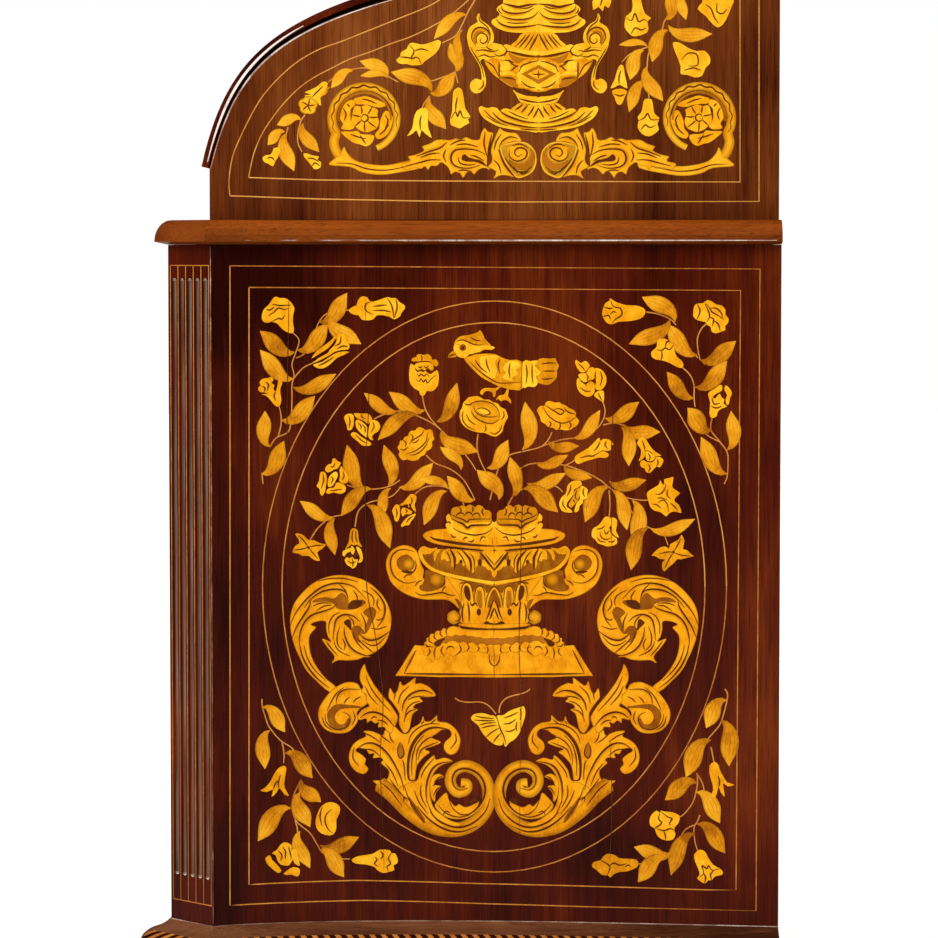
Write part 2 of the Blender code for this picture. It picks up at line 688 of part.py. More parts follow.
def fall(wood, panel_wood, leather, brass):
    lip = LIP_GAP + LIP_THICKNESS
    skin_points = ogee(lip, LIP_SPREAD) + list(reversed(ogee(LIP_GAP, LIP_SPREAD)))
    shell = prism("fall_shell", in_desk(skin_points), -DESK_OUTER_X, DESK_OUTER_X, "X", wood, smooth=True)
    core_x = INNER_X - RUNNING
    core_points = ogee(LIP_GAP + LIP_THICKNESS / 2, LIP_SPREAD) + list(reversed(ogee(-FALL_INSET)))
    fuse(shell, prism("fall_core", in_desk(core_points), -core_x, core_x, "X", wood))
    past_panel = 2 * FALL_INSET + PANEL_THICKNESS
    seat = box_points(-past_panel, -4 * past_panel, PANEL_END + GAP, PANEL_THICKNESS + GAP)
    cut(shell, prism("fall_panel_seat", on_panel(seat), -INNER_X, INNER_X, "X", wood))
    for word, low, high in hinge_spans(HINGE_LENGTH + 2 * RUNNING):
        clear = circle_points(HINGE, KNUCKLE_RADIUS + RUNNING, KNUCKLE_SIDES)
        cut(shell, prism(f"fall_knuckle_clearance_{word}", in_desk(clear), low, high, "X", wood))

    panel_x = core_x - RUNNING
    panel = prism("fall_writing_panel", on_panel(box_points(PANEL_START, 0.0, PANEL_END, PANEL_THICKNESS)),
                  -panel_x, panel_x, "X", panel_wood)
    pocket = box_points(0.0, -HINGE_LEAF, HINGE_LEAF + GAP, HINGE_LEAF_THICKNESS + GAP)
    for word, low, high in hinge_spans(HINGE_LENGTH + 2 * GAP):
        cut(panel, prism(f"fall_hinge_pocket_{word}", on_panel(pocket), low, high, "X", wood))
    recess = box_points(LEATHER_MARGIN, -LEATHER_MARGIN, PANEL_END - LEATHER_MARGIN, LEATHER_THICKNESS + GAP)
    recess_x = panel_x - LEATHER_MARGIN
    cut(panel, prism("leather_recess", on_panel(recess), -recess_x, recess_x, "X", wood))
    hide = box_points(LEATHER_MARGIN + GAP, 0.0, PANEL_END - LEATHER_MARGIN - GAP, LEATHER_THICKNESS)
    skin = prism("writing_leather", on_panel(hide), -recess_x + GAP, recess_x - GAP, "X", leather)

    hinge_y, hinge_z = in_desk([HINGE])[0]
    swing = pivot("fall_hinge", Vector((0.0, hinge_y, hinge_z)))
    carry(swing, shell, panel, skin)
    for word, low, high in hinge_spans(HINGE_LENGTH):
        carry(swing, *butt_hinge(word, low, high, brass))


def knuckle(name, low, high, brass):
    return prism(name, in_desk(circle_points(HINGE, KNUCKLE_RADIUS, KNUCKLE_SIDES)), low, high, "X", brass)


def butt_hinge(word, low, high, brass):
    """A leaf on the bed with the outer knuckles, a leaf on the fall with the middle one, and a pin."""
    middle = (low + high) / 2
    inner_low = middle - HINGE_MIDDLE_KNUCKLE / 2
    inner_high = middle + HINGE_MIDDLE_KNUCKLE / 2
    edge_v = HINGE_V - HINGE_LEAF_THICKNESS
    bed_leaf = prism(f"hinge_{word}_bed_leaf", in_desk(box_points(HINGE_U, edge_v, HINGE_U + HINGE_LEAF, HINGE_V)),
                     low, high, "X", brass)
    fall_leaf = prism(f"hinge_{word}_fall_leaf", on_panel(box_points(0.0, 0.0, HINGE_LEAF, HINGE_LEAF_THICKNESS)),
                      inner_low, inner_high, "X", brass)
    clear = prism(f"hinge_{word}_middle_gap", in_desk(circle_points(HINGE, KNUCKLE_RADIUS + 2 * GAP, KNUCKLE_SIDES)),
                  inner_low - GAP, inner_high + GAP, "X", brass)
    cut(bed_leaf, clear)
    fuse(bed_leaf, knuckle(f"hinge_{word}_low_knuckle", low, inner_low - GAP, brass))
    fuse(bed_leaf, knuckle(f"hinge_{word}_high_knuckle", inner_high + GAP, high, brass))
    fuse(fall_leaf, knuckle(f"hinge_{word}_middle_knuckle", inner_low, inner_high, brass))
    bore = prism(f"hinge_{word}_bore", in_desk(circle_points(HINGE, PIN_RADIUS + GAP, KNUCKLE_SIDES)),
                 low - HINGE_LEAF, high + HINGE_LEAF, "X", brass)
    cut(bed_leaf, bore)
    cut(fall_leaf, bore)
    prism(f"hinge_{word}_pin", in_desk(circle_points(HINGE, PIN_RADIUS, KNUCKLE_SIDES)), low, high, "X", brass)
    return (fall_leaf,)


def main():
    clear_scene()
    mahogany = finish_of("polished_mahogany", (0.10, 0.028, 0.012), 0.28)
    oak = finish_of("oak", (0.36, 0.22, 0.10), 0.6)
    brass = finish_of("lacquered_brass", (0.72, 0.50, 0.20), 0.3, 1.0)
    leather = finish_of("tooled_leather", (0.16, 0.035, 0.02), 0.55)
    base_case(mahogany, oak)
    base_top(mahogany)
    lopers(mahogany)
    for word, floor, ceiling in drawer_openings():
        long_drawer(word, floor, ceiling, mahogany, oak, brass)
    desk_case(mahogany, oak)
    nest(mahogany, oak)
    fall(mahogany, mahogany, leather, brass)


main()
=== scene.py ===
"""Looks of the fall-front secretary: floral marquetry in satinwood on dark polished mahogany."""

import bisect
import itertools
import math
import random

import bmesh
import bpy
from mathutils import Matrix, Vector


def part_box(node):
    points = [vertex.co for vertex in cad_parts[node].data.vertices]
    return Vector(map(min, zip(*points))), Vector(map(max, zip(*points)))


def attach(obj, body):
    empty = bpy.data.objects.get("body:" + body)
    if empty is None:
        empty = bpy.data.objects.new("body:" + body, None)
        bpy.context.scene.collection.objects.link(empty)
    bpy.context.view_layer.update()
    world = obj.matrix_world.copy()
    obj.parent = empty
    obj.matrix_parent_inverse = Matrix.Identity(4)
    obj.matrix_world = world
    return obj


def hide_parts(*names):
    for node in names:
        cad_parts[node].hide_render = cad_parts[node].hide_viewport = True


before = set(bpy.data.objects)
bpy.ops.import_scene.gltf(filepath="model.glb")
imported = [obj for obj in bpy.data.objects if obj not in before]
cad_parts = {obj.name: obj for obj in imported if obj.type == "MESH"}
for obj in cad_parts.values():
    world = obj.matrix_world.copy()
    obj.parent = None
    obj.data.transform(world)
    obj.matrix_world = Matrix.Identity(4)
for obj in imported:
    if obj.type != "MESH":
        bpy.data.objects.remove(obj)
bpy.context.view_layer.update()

# Carcass: mahogany veneer on both cases, with a straight ribbon grain, open pores and a French
# polish that has gone a little uneven. The grain runs up the sides and along drawers and rails.


def linear(code):
    """sRGB hex to linear colour."""
    parts = [int(code[k:k + 2], 16) / 255 for k in (1, 3, 5)]
    return tuple(c / 12.92 if c <= 0.04045 else ((c + 0.055) / 1.055) ** 2.4 for c in parts) + (1.0,)


def node(tree, kind, sockets=(), output=0, stops=(), **attributes):
    """Adds a shader node and gives one of its outputs. Sockets, in order or by name, take a value or a link from
    another node's output. Stops are the (place, hex) colours of a ramp."""
    new = tree.nodes.new("ShaderNode" + kind)
    for key, value in attributes.items():
        setattr(new, key, value)
    for key, value in sockets.items() if isinstance(sockets, dict) else enumerate(sockets):
        if isinstance(value, bpy.types.NodeSocket):
            tree.links.new(value, new.inputs[key])
        else:
            new.inputs[key].default_value = value
    for _ in stops[2:]:
        new.color_ramp.elements.new(1.0)
    for k, (place, code) in enumerate(stops):
        new.color_ramp.elements[k].position = place
        new.color_ramp.elements[k].color = linear(code)
    return new.outputs[output]


def new_material(name, roughness, coat=0.0, metallic=0.0, specular=0.5):
    material = bpy.data.materials.new(name)
    material.use_nodes = True
    principled = material.node_tree.nodes["Principled BSDF"]
    principled.inputs["Roughness"].default_value = roughness
    principled.inputs["Metallic"].default_value = metallic
    principled.inputs["Coat Weight"].default_value = coat
    principled.inputs["Coat Roughness"].default_value = 0.1
    principled.inputs["Specular IOR Level"].default_value = specular
    return material, material.node_tree, principled.inputs


def wood(name, shades, grain, roughness, coat, figure_mm=10.0, mottle=1.0, painted_light_slope=0.0):
    """Wood with its grain along one axis: figure, fine streaks, a mottle, open pores and painted light paler to the
    back.
    """
    material, tree, sockets = new_material(name, roughness, coat, specular=0.025)
    place = node(tree, "TexCoord", output="Object")
    made = []
    for size_mm, detail, drawn_out in ((figure_mm, 4.0, 0.03), (1.6, 2.0, 0.03), (120.0, 4.0, 0.5), (0.7, 1.0, 0.02)):
        stretch = [drawn_out if axis == grain else 1.0 for axis in "XYZ"]
        moved = node(tree, "Mapping", {"Vector": place, "Scale": stretch})
        made.append(node(tree, "TexNoise", {"Vector": moved, "Scale": 1000 / size_mm, "Detail": detail}))
    figure, streak, cloud, pore = made
    mixed = node(tree, "Math", (figure, 0.3), operation="MULTIPLY")
    mixed = node(tree, "Math", (streak, 0.2, mixed), operation="MULTIPLY_ADD")
    mixed = node(tree, "Math", (cloud, mottle, mixed), operation="MULTIPLY_ADD")
    # Painted light and shade: darker towards the front and paler towards the back, for the light across the hollow
    # side.
    if painted_light_slope:
        depth = node(tree, "SeparateXYZ", [place], 1)
        paler = node(tree, "MapRange", (depth, -0.26, 0.30, -painted_light_slope, painted_light_slope))
        mixed = node(tree, "Math", (mixed, paler), operation="ADD")
    dark, middle, light = shades
    mean = 0.25 + mottle / 2
    share = node(tree, "MapRange", (mixed, mean - 0.24, mean + 0.24))
    colour = node(tree, "ValToRGB", [share], stops=((0.05, dark), (0.5, middle), (0.95, light)))
    grey = node(tree, "MapRange", (pore, 0.32, 0.45, 0.5, 1.0))
    colour = node(tree, "VectorMath", (colour, grey), operation="MULTIPLY")
    tree.links.new(colour, sockets["Base Color"])
    uneven = node(tree, "MapRange", (cloud, 0.3, 0.7, roughness * 0.75, roughness * 1.3))
    tree.links.new(uneven, sockets["Roughness"])
    relief = node(tree, "Bump", {"Strength": 0.08, "Distance": 0.0005, "Height": figure})
    tree.links.new(relief, sockets["Normal"])
    return material


def paint(material, *names):
    """Gives CAD nodes a material."""
    for name in names:
        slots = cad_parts[name].data.materials
        slots.clear()
        slots.append(material)


def finished(name, mesh, material, body, smooth_degrees=30):
    """Turns a bmesh in place into a piece that rides on a body."""
    bmesh.ops.recalc_face_normals(mesh, faces=mesh.faces)
    data = bpy.data.meshes.new(name)
    mesh.to_mesh(data)
    mesh.free()
    data.shade_smooth()
    data.set_sharp_from_angle(angle=math.radians(smooth_degrees))
    data.materials.append(material)
    piece = bpy.data.objects.new(name, data)
    bpy.context.scene.collection.objects.link(piece)
    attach(piece, body)
    return piece


MAHOGANY = ("#2C0702", "#4E1404", "#722C08")
# The lower sides' veneer carries painted light: darker at the front, paler at the back.
upright = wood("mahogany veneer, grain upright", MAHOGANY, "Z", 0.34, 0.06, painted_light_slope=0.09)
across = wood("mahogany veneer, grain across", MAHOGANY, "X", 0.34, 0.06)
inward = wood("mahogany veneer, grain front to back", MAHOGANY, "Y", 0.34, 0.06)
mellow = wood("mahogany veneer, faded by light", ("#431606", "#6E330F", "#905020"), "Z", 0.34, 0.06)
moulded = wood("solid mahogany moulding", ("#4E1C08", "#8A3D10", "#A9541A"), "Y", 0.3, 0.15)
OAK = ("#6E4722", "#9A6A36", "#BB8A50")
oak = wood("quartered oak, waxed", OAK, "X", 0.55, 0.0, 7.0, 0.3)
drawer_oak = wood("quartered oak, planed", OAK, "Y", 0.6, 0.0, 7.0, 0.3)
paint(mellow, "desk_side_left", "desk_side_right")
paint(across, "top_rail", "dustboard_upper", "dustboard_lower", "base_bottom", "desk_bed", "desk_rail", "desk_top",
      "fall_shell", "fall_writing_panel", "nest_shelf", "drawer_top_front", "drawer_middle_front",
      "drawer_bottom_front", "small_drawer_left", "small_drawer_center", "small_drawer_right")
paint(moulded, "plinth", "loper_left", "loper_right", "bracket_foot_front_left",
      "bracket_foot_front_right", "bracket_foot_back_left", "bracket_foot_back_right")
paint(inward, "nest_partition_left", "nest_partition_right", "nest_wall_left", "nest_wall_right",
      "pigeonhole_divider_left", "pigeonhole_divider_right")
paint(oak, "base_back", "desk_back")
paint(drawer_oak, "drawer_top_box", "drawer_middle_box", "drawer_bottom_box")

# Lower sides: solid mahogany, veneered outside and hollowed in plan, deepest near the front.
# Each stands for the plain CAD side and is made with closer steps, so that the polish shows no facets.

side_low, side_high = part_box("base_side_right")
SIDE_HOLLOW = 0.030
HOLLOW_SKEW = 0.7
SIDE_STEPS = 48
STATIONS = [side_low.y + (side_high.y - side_low.y) * k / SIDE_STEPS for k in range(SIDE_STEPS + 1)]


def hollow_x(y):
    share = min(max((y - side_low.y) / (side_high.y - side_low.y), 0.0), 1.0)
    return side_high.x - SIDE_HOLLOW * math.sin(math.pi * share ** HOLLOW_SKEW)


def lower_side(word, sign):
    outline = [(side_low.x, side_high.y), (side_low.x, side_low.y)] + [(hollow_x(y), y) for y in STATIONS]
    mesh = bmesh.new()
    foot = [mesh.verts.new((sign * x, y, side_low.z)) for x, y in outline]
    head = [mesh.verts.new((sign * x, y, side_high.z)) for x, y in outline]
    mesh.faces.new(foot)
    mesh.faces.new(head)
    for k in range(len(foot)):
        follows = (k + 1) % len(foot)
        mesh.faces.new((foot[k], foot[follows], head[follows], head[k]))
    piece = finished(f"veneered_side_{word}", mesh, upright, "case")
    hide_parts(f"base_side_{word}")


lower_side("left", -1)
lower_side("right", 1)

# Fall: its ogee face carries a sheet of mahogany veneer, grain across, laid over the stepped core. The
# veneer's own steps are 5 mm, and the marquetry on it is cut along the same lines.

desk_low, desk_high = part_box("desk_side_right")
fall_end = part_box("fall_shell")[1].x
FOOT, FOOT_REACH, FOOT_LEAN = Vector((0.0, 0.0475)), 0.0888, math.radians(14)
END, END_REACH, END_LEAN = Vector((0.170, 0.2045)), 0.1214, math.radians(15.6)
SWEEP_RADIUS = 0.2
FACE_OFFSET, FACE_FLARE, SWEEP_OFFSET = 0.00786, 0.003, 0.0108
VENEER_START, VENEER_STEP, VENEER_THICKNESS = 0.009, 0.005, 0.0009


def ogee(share, offset):
    """(y, z) and outward direction on the edge of the desk's side, 0 at the foot and 1 where it sweeps up."""
    a, d = FOOT, END
    b = a + Vector((math.sin(FOOT_LEAN), math.cos(FOOT_LEAN))) * FOOT_REACH
    c = d - Vector((math.cos(END_LEAN), math.sin(END_LEAN))) * END_REACH
    t, r = share, 1 - share
    point = a * r ** 3 + b * (3 * r * r * t) + c * (3 * r * t * t) + d * t ** 3
    heading = ((b - a) * r * r + (c - b) * (2 * r * t) + (d - c) * t * t).normalized()
    out = Vector((-heading.y, heading.x))
    return point + out * offset + Vector((desk_low.y, desk_low.z)), out


def face_line():
    """Points and outward directions up the middle of the fall's face."""
    made = [ogee(k / 160, FACE_OFFSET + FACE_FLARE * k / 160) for k in range(160)]
    centre = END + Vector((-math.sin(END_LEAN), math.cos(END_LEAN))) * SWEEP_RADIUS
    radius = SWEEP_RADIUS - SWEEP_OFFSET
    height = desk_high.z - desk_low.z
    last = math.acos((centre.y - height) / radius) - 0.004
    for k in range(121):
        slope = END_LEAN + (last - END_LEAN) * k / 120
        out = Vector((-math.sin(slope), math.cos(slope)))
        lift = 0.00006 + 0.00036 * min(k / 12, 1.0)
        made.append((centre - out * (radius - lift) + Vector((desk_low.y, desk_low.z)), out))
    return made


FACE = face_line()
RUN = [0.0]
for (before, _), (after, _) in zip(FACE, FACE[1:]):
    RUN.append(RUN[-1] + (after - before).length)
VENEER_ROWS = [VENEER_START + VENEER_STEP * k for k in range(int((RUN[-1] - 0.0095) / VENEER_STEP) + 1)]


def on_curve(along, x, height):
    """A point over the fall's face, a length along the curve from its foot."""
    k = min(max(bisect.bisect(RUN, along), 1), len(RUN) - 1)
    share = (along - RUN[k - 1]) / (RUN[k] - RUN[k - 1])
    point = FACE[k - 1][0].lerp(FACE[k][0], share)
    out = FACE[k - 1][1].lerp(FACE[k][1], share)
    return Vector((x, point.x + out.x * height, point.y + out.y * height))


def on_fall(along, x, height):
    """The same on the veneer, whose rows are straight from one to the next."""
    k = min(max(bisect.bisect(VENEER_ROWS, along), 1), len(VENEER_ROWS) - 1)
    share = (along - VENEER_ROWS[k - 1]) / (VENEER_ROWS[k] - VENEER_ROWS[k - 1])
    return on_curve(VENEER_ROWS[k - 1], x, height).lerp(on_curve(VENEER_ROWS[k], x, height), share)


def fall_veneer():
    mesh = bmesh.new()
    half = fall_end - 0.0002
    loop = [(along, 0.0) for along in VENEER_ROWS] + [(along, -VENEER_THICKNESS) for along in reversed(VENEER_ROWS)]
    left = [mesh.verts.new(on_curve(along, -half, height)) for along, height in loop]
    right = [mesh.verts.new(on_curve(along, half, height)) for along, height in loop]
    rows = len(VENEER_ROWS)
    for k in range(len(loop)):
        follows = (k + 1) % len(loop)
        mesh.faces.new((left[k], left[follows], right[follows], right[k]))
    for k in range(rows - 1):
        for end in (left, right):
            mesh.faces.new((end[k], end[k + 1], end[2 * rows - 2 - k], end[2 * rows - 1 - k]))
    finished("fall_veneer", mesh, across, "fall")


fall_veneer()

# Marquetry: sawn satinwood, sand-shaded and engraved, and boxwood strings, all let into the veneer and
# standing a hair proud of it. The cartoon is laid out in units of about 0.93 mm on the side.

PROUD = {"wear_and_highlight": 0.00004, "string": 0.00005, "leaf": 0.00006, "scroll": 0.00012, "flower": 0.00020, "shade": 0.00028,
         "burn": 0.00036, "ink": 0.00044, "gilt": 0.00005, "ebony": 0.00005}
INLAY_DEPTH = 0.00025


def inlay_wood(name, dark, base, tip, veins=0.0, rim=0.6, rim_start=0.7):
    """Satinwood shaded from base to tip, with engraved veins along it and a rim scorched in hot sand."""
    material, tree, sockets = new_material(name, 0.34, 0.02, specular=0.03)
    drawn = node(tree, "TexCoord", output="UV")
    place = drawn.node.outputs["Object"]
    along, side, _ = node(tree, "SeparateXYZ", [drawn]).node.outputs
    factor = node(tree, "Attribute", output="Fac", attribute_name="tone")
    factor = node(tree, "Math", (along, 0.5, factor), operation="MULTIPLY_ADD")
    for size_mm, upright_stretch, low, high, weight in ((1.4, 0.3, 0.3, 0.7, 0.3), (14.0, 1.0, 0.35, 0.65, 0.4)):
        moved = node(tree, "Mapping", {"Vector": place, "Scale": (1.0, 1.0, upright_stretch)})
        grain = node(tree, "TexNoise", {"Vector": moved, "Scale": 1000 / size_mm, "Detail": 3.0})
        grain = node(tree, "MapRange", (grain, low, high))
        factor = node(tree, "Math", (grain, weight, factor), operation="MULTIPLY_ADD")
    share = node(tree, "MapRange", (factor, 0.1, 1.3))
    colour = node(tree, "ValToRGB", [share], stops=((0.0, dark), (0.4, base), (0.9, tip)))
    edge = node(tree, "Math", [side], operation="ABSOLUTE")
    scorch = node(tree, "MapRange", (edge, rim_start, 1.0, 0.0, rim))
    if veins:
        vein = node(tree, "Math", (side, veins), operation="MULTIPLY")
        vein = node(tree, "Math", (vein, 0.5), operation="PINGPONG")
        vein = node(tree, "MapRange", (vein, 0.0, 0.12, 0.45, 0.0))
        scorch = node(tree, "Math", (vein, scorch), operation="MAXIMUM")
    colour = node(tree, "Mix", {0: scorch, 6: colour, 7: linear("#4E2206")}, 2, data_type="RGBA")
    tree.links.new(colour, sockets["Base Color"])
    return material


inlay = {
    # Pale lines: painted highlights on the desk's, lips' and board's arrises and along cracks, polish thinned by use on
    # the plinth's top edge, and a line on each post's arris.
    "wear_and_highlight": inlay_wood("pale line: painted highlight and polish thinned by use", "#6A4636", "#A28070", "#F0E6DC", rim=0.2),
    "string": inlay_wood("boxwood string", "#A86024", "#CC8638", "#E2A450", rim=0.1),
    "leaf": inlay_wood("satinwood, sand-shaded leaf", "#A45C06", "#E08F10", "#FCB628", 2.0, 0.5),
    "scroll": inlay_wood("satinwood, scroll", "#B86804", "#F0980A", "#FFBA24", 0.0, 0.6, 0.2),
    "flower": inlay_wood("satinwood, flower", "#CC7E06", "#F6A410", "#FFCE30", 0.0, 0.75, 0.8),
    "shade": inlay_wood("satinwood scorched in hot sand", "#6A3408", "#8C4C0A", "#B86E12"),
    "burn": inlay_wood("satinwood shaded beside a cut", "#DA8408", "#EC9608", "#FAAA16", 0.0, 0.65, 0.0),
    "ink": inlay_wood("engraving filled with dark wax", "#42190A", "#56270A", "#6A340C"),
    "gilt": inlay_wood("gold leaf tooled into leather", "#8A6420", "#C49432", "#E8C868", rim=0.2),
    "ebony": inlay_wood("ebony, polished", "#220A04", "#341006", "#48200E", rim=0.2)}


class Sheet:
    """Pieces of one wood, drawn flat before they are laid on a surface."""

    def __init__(self, kind, seed, glow):
        self.mesh = bmesh.new()
        self.uv = self.mesh.loops.layers.uv.new("UVMap")
        self.tone = self.mesh.faces.layers.float.new("tone")
        self.random = random.Random(seed)
        self.height = PROUD[kind]
        self.glow = glow
        self.count = 0

    def level(self):
        """Each piece lies a little higher than the last, so that no two share a plane."""
        self.count += 1
        return self.height + 1e-6 * (self.count % 64) + 5e-7 * (self.count // 64 % 2)

    def face(self, corners, tone):
        """A face from (vertex, (u, v)) corners."""
        made = self.mesh.faces.new([corner for corner, _ in corners])
        for loop, (_, mark) in zip(made.loops, corners):
            loop[self.uv].uv = mark
        made[self.tone] = tone + self.glow

    def strip(self, line, halves, shade=0.0):
        """A band along a line with a half width at each of its points."""
        tone = shade + self.random.uniform(-0.12, 0.12)
        height = self.level()
        last = len(line) - 1
        least = max(halves) * 0.04
        rows = []
        for k, (point, half) in enumerate(zip(line, halves)):
            heading = Vector(line[min(k + 1, last)]) - Vector(line[max(k - 1, 0)])
            off = Vector((-heading.y, heading.x)).normalized() * max(half, least)
            places = (Vector(point) - off, Vector(point), Vector(point) + off)
            rows.append([self.mesh.verts.new((p.x, p.y, height)) for p in places])
        for k in range(last):
            for c in (0, 1):
                marks = [(k / last, c - 1), (k / last, c), ((k + 1) / last, c), ((k + 1) / last, c - 1)]
                corners = (rows[k][c], rows[k][c + 1], rows[k + 1][c + 1], rows[k + 1][c])
                self.face(list(zip(corners, marks)), tone)

    def fan(self, centre, ring, shade=0.0):
        """A shape filled from a centre to a closed ring of points."""
        tone = shade + self.random.uniform(-0.1, 0.1)
        height = self.level()
        middle = self.mesh.verts.new((centre[0], centre[1], height))
        corners = [self.mesh.verts.new((x, y, height)) for x, y in ring]
        for k, corner in enumerate(corners):
            follows = corners[(k + 1) % len(corners)]
            self.face([(middle, (0.35, 0.0)), (corner, (0.9, 1.0)), (follows, (0.9, 1.0))], tone)

    def shape(self, ring, shade=0.0):
        """A flat piece inside a closed outline of any form."""
        tone = shade + self.random.uniform(-0.05, 0.05)
        height = self.level()
        corners = [self.mesh.verts.new((x, y, height)) for x, y in ring]
        self.face([(corner, (0.6, 0.0)) for corner in corners], tone)

    def band(self, edge, inner, shade=0.0, closed=False):
        """A strip from an edge, where it is scorched, to a line beside it, where it is not."""
        tone = shade + self.random.uniform(-0.05, 0.05)
        height = self.level()
        outer = [self.mesh.verts.new((x, y, height)) for x, y in edge]
        within = [self.mesh.verts.new((x, y, height + 1e-6)) for x, y in inner]
        for k in range(len(outer) if closed else len(outer) - 1):
            n = (k + 1) % len(outer)
            self.face([(outer[k], (0.6, 1.0)), (outer[n], (0.6, 1.0)), (within[n], (0.6, 0.0)),
                       (within[k], (0.6, 0.0))], tone)


def smooth(points, steps=6, closed=False):
    """A flowing curve through given points."""
    count = len(points)
    spans = count if closed else count - 1
    made = []
    for k in range(spans):
        near = [(k + j) % count if closed else min(max(k + j, 0), count - 1) for j in (-1, 0, 1, 2)]
        a, b, c, d = (Vector(points[j]) for j in near)
        for step in range(steps):
            t = step / steps
            p = 0.5 * (2 * b + (c - a) * t + (2 * a - 5 * b + 4 * c - d) * t * t + (3 * b - a - 3 * c + d) * t ** 3)
            made.append((p.x, p.y))
    if not closed:
        made.append(tuple(points[-1]))
    return made


def bowed(x0, y0, x1, y1, bend, steps):
    """Points from base to tip along a bow; bend is its rise as a share of the length."""
    base, tip = Vector((x0, y0)), Vector((x1, y1))
    side = Vector((y0 - y1, x1 - x0)) * bend
    return [tuple(base.lerp(tip, k / steps) + side * 4 * (k / steps) * (1 - k / steps)) for k in range(steps + 1)]


sheets = {}


def new_sheets(seed, glow=0.0):
    """Starts a new cartoon; glow is how much paler its woods are."""
    for kind in inlay:
        sheets[kind] = Sheet(kind, seed, glow)


def dots(text):
    """Rows of numbers from text, such as points of the cartoon: commas inside a row and spaces between rows."""
    return [tuple(map(float, dot.split(","))) for dot in text.split()]


def runs(text):
    """Several runs of points, with a stroke between one and the next."""
    return [dots(run) for run in text.split("/")]


def leaf(x0, y0, x1, y1, half=8, bend=0.12, kind="leaf", shade=0.0):
    """A leaf with a pointed tip, fullest near its base on one side and near its tip on the other."""
    steps = 10
    early, late = ([half * math.sin(math.pi * (k / steps) ** power) for k in range(steps + 1)]
                   for power in (0.74, 1.55))
    side = math.copysign(0.5, bend)
    path = beside(bowed(x0, y0, x1, y1, bend, steps), [side * (a - b) for a, b in zip(early, late)])
    shade += sheets[kind].random.uniform(-0.15, 0.15)
    sheets[kind].strip(path, [0.5 * (a + b) for a, b in zip(early, late)], shade)


def stem(*points, half=0.65):
    path = smooth(points)
    halves = [half * (1.15 - 0.45 * k / (len(path) - 1)) for k in range(len(path))]
    sheets["string"].strip(path, halves)


def string(*points, half=0.58, closed=False, shade=-0.15):
    """A boxwood string through points, straight between them."""
    path = list(points) + ([points[0]] if closed else [])
    sheets["string"].strip(path, [half] * len(path), shade)


def line(*points, half=0.45, kind="ink"):
    """An engraved line on top of a flower or scroll, fine at both ends."""
    path = smooth(points, 5)
    last = len(path) - 1
    sheets[kind].strip(path, [half * (0.3 + 1.1 * math.sin(math.pi * k / last)) for k in range(last + 1)])


def beside(path, widths):
    """The line that keeps to the left of a path at a distance for each of its points."""
    last = len(path) - 1
    made = []
    for k, width in enumerate(widths):
        heading = Vector(path[min(k + 1, last)]) - Vector(path[max(k - 1, 0)])
        off = Vector((-heading.y, heading.x)).normalized() * width
        made.append((path[k][0] + off.x, path[k][1] + off.y))
    return made


def shaded_line(points, half, width):
    """An engraved line with the wood on its left scorched, or on its right for a width below zero."""
    line(*points, half=half)
    path = smooth(points, 4)
    last = len(path) - 1
    sheets["burn"].band(path, beside(path, [width * math.sin(math.pi * k / last) for k in range(last + 1)]))


def outline(kind, points, shade=0.0, steps=3, rim=1.6):
    """A piece inside a closed curve through given points, scorched a little way in from its edge."""
    ring = smooth(points, steps, True)
    sheets[kind].shape(ring, shade)
    count = len(points)
    area = sum(ring[k - 1][0] * ring[k][1] - ring[k][0] * ring[k - 1][1] for k in range(len(ring)))
    room = []
    for k in range(count):
        others = [points[j] for j in range(count) if 2 <= abs(j - k) <= count - 2]
        near = min((math.dist(points[k], other) for other in others), default=0.0)
        room.append(min(rim, 0.2 * near))
    widths = [room[k // steps] + (room[(k // steps + 1) % count] - room[k // steps]) * (k % steps) / steps
              for k in range(len(ring))]
    wrapped = [ring[-1]] + ring + [ring[0]]
    turn = math.copysign(1.0, area)
    inner = beside(wrapped, [0.0] + [turn * width for width in widths] + [0.0])[1:-1]
    sheets[kind].band(ring, inner, shade, True)


def scallop(x, y, rx, ry, lobes, turn=0, shade=0.0, depth=0.1, kind="flower"):
    """A round piece with a scalloped rim, turned by an angle in degrees."""
    count = lobes * 5
    spin = math.radians(turn)
    ring = []
    for k in range(count):
        a = 2 * math.pi * k / count
        swell = 1 - depth + depth * abs(math.sin(a * lobes / 2)) ** 0.6
        px, py = rx * swell * math.cos(a), ry * swell * math.sin(a)
        ring.append((x + px * math.cos(spin) - py * math.sin(spin), y + px * math.sin(spin) + py * math.cos(spin)))
    sheets[kind].fan((x, y), ring, shade)


